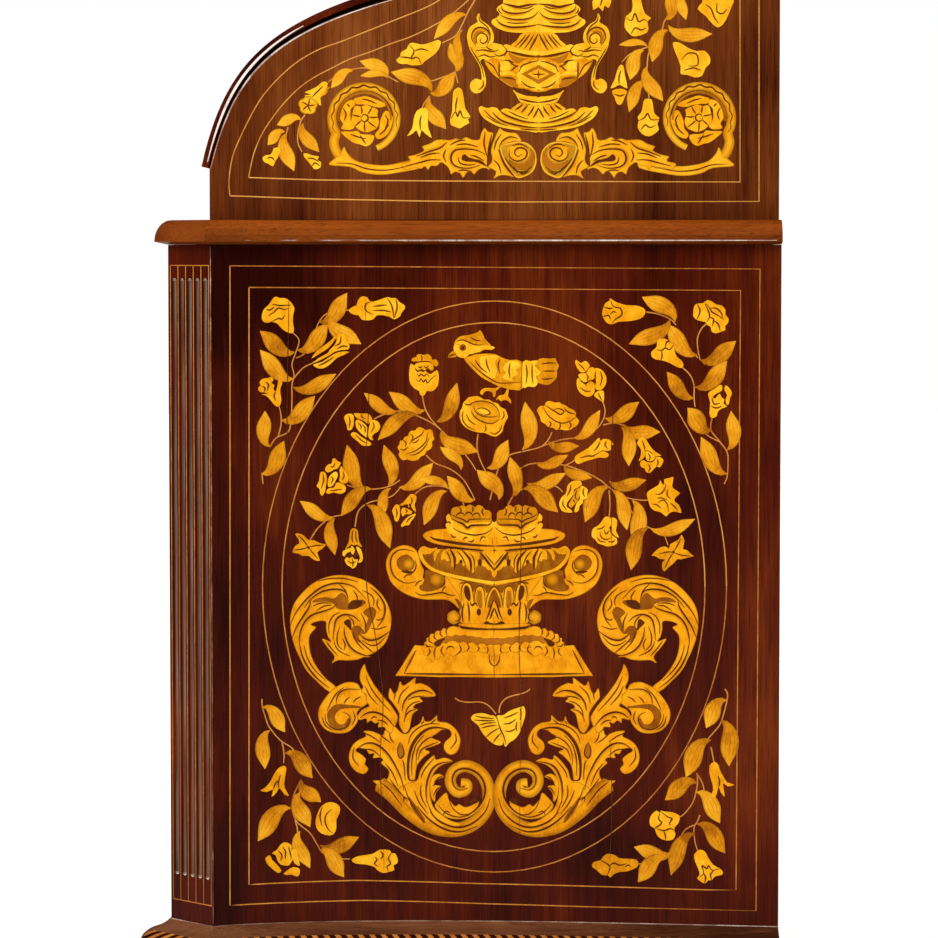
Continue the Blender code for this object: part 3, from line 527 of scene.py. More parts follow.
def rose(x, y, rx, ry, turn=0):
    """A cabbage rose seen a little from below: wavy rings of petals about a heart that lies high."""
    spin = math.radians(turn)

    def at(px, py):
        px, py = px * rx, py * ry
        return (x + px * math.cos(spin) - py * math.sin(spin), y + px * math.sin(spin) + py * math.cos(spin))

    scallop(x, y, rx, ry, 9, turn, 0.0, 0.12)
    for size, rise, waves, half in ((0.74, 0.12, 7, 0.75), (0.45, 0.22, 5, 0.65), (0.2, 0.26, 3, 0.6)):
        ring = []
        for k in range(waves * 4 + 1):
            a = math.pi * k / (waves * 2)
            swell = size * (0.93 + 0.07 * math.cos(a * waves))
            ring.append(at(swell * math.cos(a), swell * 0.9 * math.sin(a) - rise))
        line(*ring, half=half)
    for k in range(9):
        a = 2 * math.pi * k / 9
        line(at(0.88 * math.cos(a), 0.88 * math.sin(a)), at(0.82 * math.cos(a + 0.06), 0.8 * math.sin(a + 0.06) - 0.03),
             at(0.72 * math.cos(a + 0.02), 0.7 * math.sin(a + 0.02) - 0.1), half=0.7)
    for k in range(5):
        a = 2 * math.pi * (k + 0.4) / 5
        line(at(0.68 * math.cos(a), 0.6 * math.sin(a) - 0.12), at(0.5 * math.cos(a), 0.42 * math.sin(a) - 0.2))


def carnation(x, y, r, turn=0, petals=6):
    """A bunched flower of separate round petals with dark gaps between them."""
    scallop(x, y, r * 0.86, r * 0.86, petals, turn, -0.9, 0.05, "leaf")
    for k in range(petals):
        a = math.radians(turn + 360 * k / petals)
        scallop(x + 0.62 * r * math.cos(a), y + 0.62 * r * math.sin(a), r * 0.38, r * 0.3, 3,
                turn + 360 * k / petals + 90, 0.0, 0.12)
    scallop(x, y, r * 0.34, r * 0.3, 4, turn + 20, 0.1, 0.12)
    line((x - r * 0.2, y - r * 0.05), (x, y + r * 0.06), (x + r * 0.2, y - r * 0.05))


def bloom(points, *folds, shade=0.0):
    """A flower inside a given outline, with its folds engraved."""
    outline("flower", points, shade, 2)
    for fold in folds:
        line(*fold, half=0.5)


def star(x, y, r, points=5, turn=0):
    for k in range(points):
        a = math.radians(turn + 360 * k / points)
        leaf(x, y, x + r * math.cos(a), y + r * math.sin(a), r * 0.34, 0.06, "flower")


BELL = dots("0.0,0.22 0.05,0.44 0.18,0.56 0.38,0.6 0.58,0.64 0.76,0.76 0.9,0.98 1.0,1.1")
MOUTH = dots("0.9,0.78 1.02,0.52 0.92,0.28 1.06,0.0")


def bell(x0, y0, x1, y1, half):
    """A bell flower from its stalk to its mouth, with pointed lobes to the brim."""
    base, way = Vector((x0, y0)), Vector((x1 - x0, y1 - y0))
    side = Vector((-way.y, way.x)).normalized() * half

    def at(t, w):
        return tuple(base + way * t + side * w)

    right = BELL + MOUTH
    bloom([at(t, w) for t, w in right] + [at(t, -w) for t, w in reversed(right[:-1])],
          [at(0.9, 0.76), at(0.72, 0.42), at(0.5, 0.34)], [at(0.9, -0.76), at(0.72, -0.42), at(0.5, -0.34)],
          [at(0.94, 0.24), at(0.78, 0.1), at(0.62, 0.06)], [at(0.94, -0.24), at(0.8, -0.14), at(0.7, -0.1)],
          [at(0.14, 0.5), at(0.2, 0.0), at(0.14, -0.5)])
    outline("shade", [at(0.74, 0.5), at(0.84, 0.4), at(0.9, 0.06), at(0.82, -0.2), at(0.76, 0.1)], steps=2)


def scroll(points, wide, narrow, shade=0.0, kind="scroll"):
    """A scroll band along a curve through points, tapering from wide to narrow."""
    path = smooth(points, 5)
    last = len(path) - 1
    halves = [wide + (narrow - wide) * k / last for k in range(last + 1)]
    halves[0] *= 0.5
    sheets[kind].strip(path, halves, shade)


def spray(x, y, reach, rise):
    """A flowering branch from (x, y), scaled and turned by its reach and rise."""

    def at(*points):
        return [(x + px * reach, y + py * rise) for px, py in points]

    size = (abs(reach) + abs(rise)) / 2
    for curve in runs("""0,0 30,-14 62,-10 95,-24 130,-18 160,-30/24,-12 38,-34 50,-46/62,-10 80,10 96,17/95,-24
        104,-46 116,-56/130,-18 144,2 156,8"""):
        stem(*at(*curve))
    for base, tip, bend in (((14, -8), (30, 14), 0.14), ((28, -16), (16, -44), -0.12), ((46, -13), (70, -38), 0.12),
                            ((52, -12), (58, 18), -0.12), ((76, 6), (70, 30), 0.1), ((82, -19), (88, -52), -0.12),
                            ((104, -23), (118, 4), 0.12), ((118, -20), (142, -46), 0.12), ((140, -4), (134, 24), 0.1),
                            ((148, -26), (172, -8), -0.1)):
        (x0, y0), (x1, y1) = at(base, tip)
        leaf(x0, y0, x1, y1, 7.5 * size, bend * (1 if reach * rise > 0 else -1))
    (bud, edge), (heart, face), (high, top), (far, low) = at(*dots("54,-54 106,20 172,-38 166,12"))
    carnation(bud, edge, 12 * size, 10)
    carnation(heart, face, 12 * size, 40, 5)
    rose(high, top, 15 * size, 13 * size, 20)
    star(far, low, 10 * size)
    (x0, y0), (x1, y1) = at((116, -56), (128, -80))
    bell(x0, y0, x1, y1, 9 * size)


def lay(name, place, solid, body, cuts=()):
    """Lays every drawn sheet on a surface. place gives (p, q) on it, solid a 3D point at (p, q, height)."""
    for kind, material in inlay.items():
        mesh = sheets[kind].mesh.copy()
        if not mesh.faces:
            continue
        mesh.normal_update()
        bmesh.ops.triangulate(mesh, faces=mesh.faces)
        for corner in mesh.verts:
            corner.co.x, corner.co.y = place(corner.co.x, corner.co.y)
        for cut in cuts:
            bmesh.ops.bisect_plane(mesh, geom=[*mesh.verts, *mesh.edges, *mesh.faces], plane_co=(cut, 0, 0),
                                   plane_no=(1, 0, 0), dist=1e-7)
        lower = bmesh.ops.extrude_face_region(mesh, geom=mesh.faces)["geom"]
        for corner in lower:
            if isinstance(corner, bmesh.types.BMVert):
                corner.co.z = -INLAY_DEPTH
        for corner in mesh.verts:
            corner.co = solid(*corner.co)
        finished(f"{name}_{kind}", mesh, material, body)


# Lower side panels: a bouquet in a scrolled urn with a bird, scrolls and a butterfly below it, all inside
# an oval of two strings, and a flower spray in each corner of the two string frames.

EYE = Vector((3.87, 0.0104, 0.7007))
TILT = math.radians(3.4)
EYE_REACH, CARTOON_MIDDLE = 3611, 469


def on_side(x, y, side_x):
    """Where a cartoon point, drawn as the eye sees the side, falls on it: its y and z."""
    ray = Vector((-math.cos(TILT), 0, -math.sin(TILT))) * EYE_REACH + Vector((0, 1, 0)) * (x - CARTOON_MIDDLE)
    ray += Vector((-math.sin(TILT), 0, math.cos(TILT))) * (CARTOON_MIDDLE - y)
    deep = side_high.x
    for _ in range(3):
        place = EYE + ray * ((deep - EYE.x) / ray.x)
        deep = side_x(place.y)
    return place.y, place.z


def mirrored(points, axis):
    return [(2 * axis - x, y) for x, y in points]


def ellipse(x, y, rx, ry, count=96):
    return [(x + rx * math.cos(2 * math.pi * k / count), y + ry * math.sin(2 * math.pi * k / count))
            for k in range(count)]


new_sheets(11)
string(*dots("230,265.9 760,269 756,910.8 590,906.8 490,903.8 365,900.3 240,904.8 230,905.3"), closed=True)
string(*dots("249,287.4 740.5,290.5 736,890 706,889.8 481,883.6 356,880.3 256,884.2 249,884.6"), closed=True)

for shape in dots("""261,474,284,441,9 270,447,265,411,8,-0.1 281,420,315,396,9 293,387,336,374,8
    294,379,260,350,9,-0.1 295,352,260,331,9,-0.1 297,350,328,323,9 319,322,347,293,9 330,315,361,344,9
    697.5,355,667,324,9,-0.1 700,360,736,341,9 695,387,727,361,9 694,398,667,372,8,-0.1 712,430,687.5,408,10,-0.1
    727,450,731,411,8 727,474,701,437,9,-0.1 675,322,642,297,9 670,319,629,344,9,-0.1 262.5,707,285,732,8,-0.1
    270,730,265,769,8 285,753,312.5,778,9,-0.1 302,780,321,802,8 300,792,310,827,9 291,808,258,841,10
    300,831,310,868,8 320,845,359,837,8 319,850,344,877,9,-0.1 726.7,700,706,728,9 721,720,729,766,10,-0.1
    711,740,686,777,10 697,783,665,800,9 696,792,720,823,9,-0.1 697,824,725,853,9,-0.1 695,833,671,875,9
    672,852,634,847,8,-0.1 666,858,638,882,9"""):
    leaf(*shape)
for curve in runs("""263,484 262,474/270,447 276,438 288,432 291,420 292,400 292,385 294,375 292,364 296,352 299,340
    292,332/278,437 281,425 281,415 279,406/294,378 303,368 313,363/296,358 304,354 311,344 319,322 330,312
    349,310/709,322 702,328 697.5,338 698,350 700,360/683,343 698,358/682.5,367.5 690,375 694,385 694,397
    695,407/698,425 707,435 720,442/712,418 711,430 720,442 727,452 728,463 727,477 724,484/646,312 658,314
    670,319 676,325/262,699 262.5,707 267,722 270,728 280,740 292,748 299,758/282,742 284,753 283.7,763/301,780
    295,792 292.5,802 293,813 298,823 310,833 317.5,845 323,853 337,858 350,859/295,820 297.5,830 296,842 294,847 /
    725,689 727.5,697 721,722 713,733 705,742 700,750/711,747 714,762/697,773 697.5,783 696,792 692.5,803 685,813
    680,817/698,775 703,785 705,800/700,815 697,822 694,828 695,842 697.5,850/694,825 685,830 678,842 672,852
    660,860 648,863 638,864"""):
    stem(*curve)
bloom(*runs("""293,333 289,333 285,331 281,328 277,323.5 271.5,322 266,323 262,320 262,313.5 264.5,308.5 268.5,305
    271.5,300.5 275,296.5 280,298 285,298 290.5,301.5 294.5,308 293.5,314 293,322 294,329/272,304 280,305.5
    291.5,305/268,316 274,312 278.5,308 284,309.5 288,308/271,322 278,318.5 282,319 285,315/266,309 270,310
    274,307"""))
bloom(*runs("""348.5,310.5 353,306.5 356.5,305 358,300 361.5,296.5 367,297 370.5,301.5 377,300.5 384,298 388,297
    391.5,298 396,298 399.5,302 404.5,305 405,308.5 401.5,313 400,316.5 394.5,319.5 390.5,317.5 384,315.5 377,315.5
    373,319.5 366.5,320.5 361.5,319.5 358.5,315.5 353,314.5/370.5,302 366.5,303.5 365,308 367,311.5 373,314.5 /
    387,298 391,304 393,311 393.5,318/373,306.5 380,305.5 387,305/373,310.5 384,310.5 391,312/396,299 397,308
    394,318"""))
bloom(dots("""311.5,358.5 317,350.5 327,343.5 333,338 335.5,333.5 337,335.5 334.5,340.5 328.5,348 320,353.5"""),
    shade=-0.2)
bloom(*runs("""313,363.5 318.5,358 327,353.5 330,349.5 334.5,345 336.5,340 337,335 341.5,333 345,335 347,340.5
    349.5,345 348.5,349.5 341.5,350 334.5,352 330,355 324.5,358/335,346 340,343 341,336/337,349 343,346
    348,347"""))
bloom(*runs("""313,364.5 321.5,362 330,356.5 338.5,352 349.5,351.5 344,355 337,358 330,364.5 323,368.5 317,368 /
    318,366 326,362 334,357"""))
bloom(*runs("""276.5,406.5 273,403.5 270,399.5 265.5,395.5 261.5,394.5 268.5,393 260,392 258,388 260.5,385.5 259.5,382
    263,378.5 268,378 272,376.5 273.5,380 271.5,383 274.5,385 273.5,388.5 275.5,391.5 277,388 278,382 280,379.5
    282.5,383 280.5,388 280.5,393.5 281.5,399.5 280,405.5/265.5,382 268.5,385 267,391/262,386 265,388 264,392 /
    275.5,392 274,396 276,401"""))
bloom(*runs("""645.5,312 643.5,308 636.5,305.5 626.5,305 620.5,303.5 615,301.5 610,298 609.5,300.5 605.5,303 603.5,307
    602,313 603.5,318.5 607,323 612,324.5 618,322 626.5,321.5 636.5,320 643,317/610.5,300.5 613.5,306.5 620.5,308.5
    621.5,315 615,319.5 611.5,324/604,307 609.5,308.5 613,308/610,314.5 613.5,311.5 616.5,313/603,316.5
    608.5,315.5 610.5,319.5"""), shade=-0.15)
bloom(*runs("""705,322 698,320.5 693.5,317 693,313 694,306.5 697,303.5 703,303 707,300 712,301.5 716.5,304.5 722,305.5
    725.5,310 725.5,314.5 728.5,318.5 728,323 725,326.5 725.5,330 720.5,332 715.5,333.5 711.5,331.5 710.5,327 707,325
    / 705,303 709.5,308 712,312 718,315.5 723.5,319.5/705,304 708,310.5 709.5,316.5 706.5,322/710.5,308
    716.5,308.5 721.5,313.5 722,318.5/709.5,317 713.5,319.5 712,326.5/697,304 700,311 697,319/713,320 718,324
    720,331"""))
bloom(*runs("""682,368 675.5,366.5 669.5,363 662,360.5 655.5,359.5 651.5,356.5 651.5,351.5 656.5,347 657,340.5
    660.5,338.5 666.5,339 670,343 674.5,344.5 674.5,350.5 677,356.5 681.5,360.5 683.5,364.5/656.5,349.5 661.5,350.5
    665,348 669.5,349.5 673.5,345/661.5,350.5 662,356.5 660.5,360/665,348 666.5,342 669.5,342"""), shade=-0.1)
bloom(*runs("""711.5,418 709.5,415 709.5,409.5 710,402 708,395 709.5,391.5 715,388.5 719.5,385 722,385.5 722,390.5
    716.5,393.5 713,397 715,398.5 719.5,393.5 721.5,397 724.5,399.5 723.5,403.5 727,406.5 722,408.5 718,411.5
    716.5,416.5/712,398 714,404 720,403/711,406 716,408 722,406"""))
bloom(dots("725,385.5 728.5,387 732,393 730,398 729,403.5 726.5,405 725.5,399.5 727,395 724.5,390.5"))
bloom(*runs("""283.5,765.5 286.5,768 285.5,775 284.5,782 285,788 289,795.5 284.5,794.5 279.5,788 277,792 271.5,797
    273,789.5 267,792 260,790.5 264.5,788 270,782 273.5,775 278,768.5/278.5,788 278.5,782 280.5,775/273,789.5
    275.5,783.5 278,780.5"""), shade=-0.15)
bloom(*runs("""330,835.5 321.5,833.5 316.5,828 315.5,820.5 318,812 322,805.5 328.5,802 335.5,803 340,807 339.5,813.5
    336.5,819.5 336.5,828 334.5,833/332,809 327,813.5 325,818 325.5,823.5 328.5,829.5 333,833/322,807 320,816
    322,826"""))
bloom(*runs("""272,853 277,849.5 280.5,844.5 285.5,842 291.5,845 291.5,850 294.5,848 298,850.5 298,856.5 300,865.5
    294.5,863.5 293,859.5 289.5,865 285.5,865.5 280.5,864.5 277,859.5 275.5,855/278,850.5 282,855 280.5,860.5 /
    283,846.5 285.5,852 285,859.5/288.5,846.5 290,852 291.5,859.5"""))
bloom(dots("265.5,858 270,855 272,859.5 277,864.5 281.5,870.5 278,873 271.5,868 267,863.5"), shade=-0.15)
bloom(dots("283.5,873.5 288.5,869.5 293,867 299.5,868.5 299.5,874.5 296.5,876.5 291.5,874.5 287,875"))
bloom(*runs("""351.5,860 356.5,856.5 364.5,855 373,853.5 380,849.5 389.5,850 391.5,853 395.5,853.5 398,859.5 397,863.5
    393.5,865.5 394.5,870 388.5,872 383,873 377,870 374.5,867 365.5,864.5 355.5,863.5/374.5,856.5 377,859.5
    374.5,863.5 378.5,866.5/391.5,853 388.5,858 390.5,863.5 387,866.5 388.5,872/380,850.5 383,855 380.5,859.5"""))
bloom(*runs("""714.5,761.5 718.5,765 720,770 723,775.5 727,782 734.5,784.5 728,786.5 723,783.5 725,796.5 720.5,792
    718.5,787 717,793 714.5,798 710.5,796.5 713,790 712,783 709.5,774.5 709.5,765.5/718,775.5 719.5,781.5
    718.5,787"""), shade=-0.15)
bloom(*runs("""680,817 678.5,823 675,827 674.5,830.5 675.5,834.5 673,839.5 666.5,840.5 660.5,838.5 656.5,834.5
    654.5,828.5 650,825.5 649.5,819.5 651.5,814.5 656.5,810.5 660,813 660.5,810.5 665,811.5 672,812 678,814.5 /
    660,813 658.5,818.5 661.5,823 656.5,827 654.5,828.5/660.5,811.5 668,817 672,818.5 669.5,823 670.5,825.5 /
    656.5,828.5 663.5,830.5 670.5,828.5 674.5,830.5/663.5,830.5 665,834.5 665.5,840"""))
bloom(*runs("""699.5,849.5 705,851.5 708,857 713,864.5 719.5,868 723,872 721.5,875 715,876.5 712,880 708,880.5
    705,883.5 700.5,881.5 697,878 699.5,874.5 698,868.5 695,861.5 694,854.5/699.5,877 703.5,873 702,865.5
    706.5,868.5 708.5,865.5 712,870 719.5,868.5/711.5,880 710.5,874.5 713.5,870.5/704.5,883 705.5,877
    703.5,873.5"""))
bloom(*runs("""638.5,864.5 636.5,859.5 628,858.5 619.5,858 615,855 608,853.5 603,856.5 600.5,860 593.5,862 592,866.5
    597,870.5 602,875 608,875.5 610.5,877.5 613.5,874.5 619.5,872 626.5,871.5 635,868.5/600.5,860 606.5,863.5
    610,867 607,875.5/608.5,866.5 613.5,863 619.5,865 626.5,863.5/625,867 628,865 630.5,866.5"""), shade=-0.45)

station_x = [hollow_x(y) for y in STATIONS]


def chord_x(y):
    """Reach of the stepped side at a depth."""
    at = (y - STATIONS[0]) / (STATIONS[1] - STATIONS[0])
    k = min(max(int(at), 0), len(STATIONS) - 2)
    return station_x[k] + (station_x[k + 1] - station_x[k]) * (at - k)


def on_both_sides(name):
    for word, sign in (("left", -1), ("right", 1)):
        lay(f"{name}_{word}", lambda x, y: on_side(x, y, chord_x),
            lambda y, z, h: Vector((sign * (chord_x(y) + h), y, z)), "case", STATIONS[1:-1])


on_both_sides("lower_corners")
new_sheets(13)
string(*ellipse(494.5, 586.5, 232, 285.5), closed=True)
string(*ellipse(493.5, 587, 211.5, 264.5), closed=True)

for shape in dots("""398,411,364,393,7,-0.1 425,410,389,392,8,-0.1 436,422,457,383,8 418,415,378,440,8
    441,430,478,452,9 366,490,347,445,9,-0.1 388,486,384,445,8 399,487,433,463,8 372,489,341,516,8 391,488,382,517,6
    334,517,300,501,7,-0.1 461,470,440,447,6 448,489,419,479,5 475,500,447,476,8,-0.1 447,491,424,525,8
    499,500,477,470,9 367,505,390,548,9,-0.1 335,518,335,555,7 487,468,508,440,8 522,450,525,402,9 573,438,600,410,7
    605,418,639,402,8 548,441,579,446,6 536,463,568,455,6 512,497,510,457,8 527,483,566,473,7 523,489,558,512,9,-0.1
    564,465,592,478,6 609,481,646,480,7 609,487,585,522,9 612,490,627,530,8,-0.1 632,500,636,546,9,-0.1
    648,528,631,570,9 650,528,695,519,7 623,424,660,432,8 621,427,629,466,8,-0.1"""):
    leaf(*shape)
for curve in runs("""374,419 385,414 400,411 415,415 430,422 441,430 456,445 468,458 476,470/422.5,396 425,408
    431,419 441,430/426,455 435,463 450,469 462,478 470,490 475,500/347,485 358,488 375,489 390,486 400,480 /
    415,494 425,487 440,486 452,490 461,500 464,505/310,540 318,528 330,518 342,515/355,527 358,512 366,504
    378,500 392,496 400,488/478,434 477,448 481,462 488,475 496,488/490,500 495,480 500,465 510,455 525,451
    540,447 548,440 552,432/540,447 560,440 580,437 595,430 603,420 605,410 602,400/518,470 530,464 550,463
    565,465 575,460/565,465 585,472 600,480 610,488 625,497 640,500 650,500/508,505 514,495 525,488 540,484
    555,486 563,492/609,490 610,505 609,517/603,425 615,423 628,428 636,435/625,497 632,512 640,522 650,528
    662,532 668,545"""):
    stem(*curve)
# Petals of the bouquet, each with its shade, and the engraving on them.
BOUQUET_SHADES = (0.0, -0.1, -0.25, 0.0, -0.2, 0.0, 0.05, 0.0, 0.0, -0.1, 0.1, -0.1, 0.0, -0.15, 0.0, 0.0, 0.1,
    -0.3, 0.1, 0.1, 0.0, 0.1, -0.15, -0.3, 0.0, -0.35, 0.1, 0.0, 0.0, -0.1, 0.0, 0.0, -0.1, -0.1, 0.1, -0.1,
    0.1, -0.1, -0.35, 0.1, 0.1, 0.1, -0.1, -0.35)
for piece, shade in zip(runs("""411,363.5 414.5,366 415.5,370 418,372 420.5,371 423,372 425.5,371 428,373 431,374
    436.5,370 438.5,373 439,379 438,385 435,389.5 431,391.5 427,391 425,394.5 422.5,396 420,394.5 419,391 415,389
    411,385 409.3,380 409,372 410,365/414,366 417,363 424,362 430,362.5 433,365 433.5,369.5 431,370.5 428,368
    425,370.5 421.5,369 419,370.5 416,369/411.5,361 413,357.5 416,357 417,354.5 420.5,354 424,355 426,354
    429,354.5 431.5,357 432.5,360 435,359 437.5,361 438.5,364.5 436,366.5 432,364.5 430,361.5 424,361 417,361.5 /
    344,418 346,414.5 350,413.5 353.5,415 354,420 353.5,426 351,430 347.5,430 346.5,425/354,413 361,413.5
    368,413.5 371.5,417 372,420 368,424 364,421 360,419.5 356,417.5/371,420.5 375,420 379,422.5 380.5,427
    378,431.5 374,434 372,437 373.5,440 370,439.5 368,435 369,427/355.5,421 358,419.5 361,421 365,424 367.5,428
    367.5,437.5 363,435 359,431.5 356,427/350.5,434.5 353,432 357,433 361,436.5 366,439.5 370,442 371.5,444.5
    368,446 362,445.5 358.5,442 354,438.5/325,470 326,466.5 329,464 331.5,463.5 332.5,459 335,458.3 337.5,461
    341,462.5 339.5,466 337,469 334,469.5 331,471.5 327.5,472.5/341.5,466 344,470 347,474 348.5,478.5 347,483
    343,483.5 339,481 340,476 339.5,470/327.5,482 329.5,476 334,472 337,472 338,476 336,480 333,485.5 328.5,487 /
    320,473 323,471.5 326,473.5 327,479 326,486 325,492 322,496 320,493 319.5,489 316.5,486 319,481/326,491.5
    329,488 334,487.5 336,483 339,482.5 344,484.5 346,487.5 345,492 340,494 334,492.5 328,494/399,505 403,502.5
    406.5,498.5 410,494.5 413.5,494 416.5,496.5 416,501 414.5,505 416.5,512.5 412.5,509 410.5,505.5 408.5,508
    407.5,504 402.5,505.5/392,511 393.5,507.5 395.5,504.5 399,505 400,509 400,514 399,519 397,522 394.5,520
    394,516.5/401,511 403,507.5 407,508.5 410,510 412.5,512 410,514.5 406,514 403,516.5 401.5,514/401,525
    404,520.5 407,517.5 411,515 416,513.5 414,518 411,521.5 409,525 405,525.5 402,527/351,529.5 354,528 357.5,530
    358.5,535 359,541 362.5,547 359,546 357,544.5 354,545.5 351.5,544.5 349,546.5 345,549.5 348.5,542 349.5,535 /
    343,551 346,549.5 350,548 351,551 347,553 344.5,556.5 342.5,555/356,546.5 360,548 362,552 363,558 361.5,562
    358,562.5 360,558 358,553/351,546 353.5,547 355,550.5 353,555 350.5,551.5/344.5,560 347,557 350,558.5
    352,556.5 355,559.5 358,559 357,564 355.5,567 352.5,568.5 350,566.5 347,565/397.5,447.5 399.5,444 400,441
    403,440 404.5,437 408,435.5 409,432.5 412,430.5 415,430.5 417,428 420,427 423.5,428.5 426,430 430,429 432.5,431
    433.5,436 434.5,439 432,442 432.5,446 430,449.5 427,451 424.5,455 420.5,457 418,460 412,461 407,459.5 403,460.5
    400,458 398.5,454.5 399.5,451.5/295,534 299,533.5 304,535.5 308.5,540 314,540 320,543 326,544.5 322,549
    317.5,552.5 320,560.5 314,560 308.5,556 303,556 298,553.5 292.5,552.5 295,546 299,543.5 298.5,539/459.5,417
    460,411 462,408 463,403 466,400 468,397.5 472,396.5 477,396 481,397.5 484,399.5 489,399.5 493,402 498,403.5
    500.5,407 505,409 507,413 508,417 506,421 503.5,427 502.5,431.5 499,435 495,436.8 490,435.5 485,433 478,432.5
    471,430.5 465.5,427.5 461.5,423/470,409 473,403.5 480,402 488,403 494,407 498.5,414 499,420 492,423.5 482,422
    474,418/476.5,409.5 481,408 487,409.5 490,413.5 484,415 478.5,412.5/575,361 577,360 581,363 584,361
    587,361.5 590,365.5 588,368.5 585,372 580,372 576,366/594,369 598,368 603,371 606,376 606.5,381 605,386
    601,390 596,389.5 595,384 595.5,376/576.5,384 577,379 579,378 582,382 586,384.5 589,381.5 593,382 595,386
    594.5,392 592,395.5 587.5,397 582,394.5 578,390/578,375 582,373 586,373 588,369 592,367 595,369 595.5,374
    594,379 589,380.5 585,382.5 581,380/594,395.5 597,391.5 603,390.5 604,395 603.5,402 599,399.5/537,411
    538,408 541,405.5 544,406 546,402 549,401 552,401.5 556,402.5 559,402 562,404 566,405.5 569,408 573,409.5
    576,413 575.5,416 578.5,419.5 579,422 576.5,426 573,428 570,430 565,430.5 561,429.5 556,430 553,428 548,427
    545,424 541,421.5 540,417/574.5,458 577,454.5 583,451 588.5,448 589,452 590,457 596,455 601,451.5 605,451.5
    609,454.5 606,458 599,457.5 592,459.5 585,461.5 579,464 575.5,462.5/588,448.5 593,443.5 597,439 599.5,438
    600.5,441 603,439 607,439 610,440 613.5,444 611,446 611,450 607,451 602,450.5 597,453.5 592,455.5 588.5,454 /
    637,443 639.5,438 643,436.5 646.5,440 650,446 655,451.5 661.5,455.5 657,456 654,457 652,453 648,450.5 645.5,451
    645,456 642,459.5 638.5,461 640.5,456 641,450 638.5,446/645.5,452 648,451 652,454 655,457.5 653,460.5
    649,461.5 646,459/640,462.5 643,460 646,461.5 650,462.5 654,461 656,457 660,457 663.5,460 662,464.5
    659.5,467.5 656.5,466.5 653,470 650,473 646,472 644.5,468.5 641,467/574,492 577,488.5 580,488 579.5,493
    578.5,499 575,504 571,508 568.5,504.5 571,500 573,496/559,505 560,500 562,496.5 566,493 567,487 570,482.5
    575,480.5 580,481 582,484 579,487 574,489.5 573.5,494 570,499 567,503 567,507 571,509.5 572.5,512.5 567,512.5
    562,511/581,485.5 585,487 588,490 587,494.5 587.5,498 583,500 583,503 579.5,506 579,510 576,512.5 574,511
    575.5,506 577,502 580,499 579,494 580,489/591.5,533 593,528.5 597,526 600,523.5 603,519 606,516.3 610,517.5
    614,517.5 617,520 617,526 616,531 619.5,538 616.5,537.5 617.5,542.5 614,545.5 607,546.5 603,545 598,543.5
    595,539.5 592,537/646.5,494.5 649,490.5 655,487 659,484 660,480 662.5,484 664.5,484 664,479.5 669,478
    673.5,477 672.5,484 673,488 680,493 676,497 674.5,501 679,505 681.5,513 675,511.5 669.5,513 666,516.5 661,512.5
    654,510.5 650,506.5 648.5,501.5/651.5,555.5 656,550.5 661,547 666,546.5 669,548.5 670,544.5 674,542 679,539
    681.5,534.5 684.5,541 683,548.5 687,550 691,554 694,556 688,557.5 681,559.5 677.5,559 674,563 669,567 664,571.5
    662,567 662.5,562 665,559.5 660,559 655,556"""), BOUQUET_SHADES):
    bloom(piece, shade=shade)
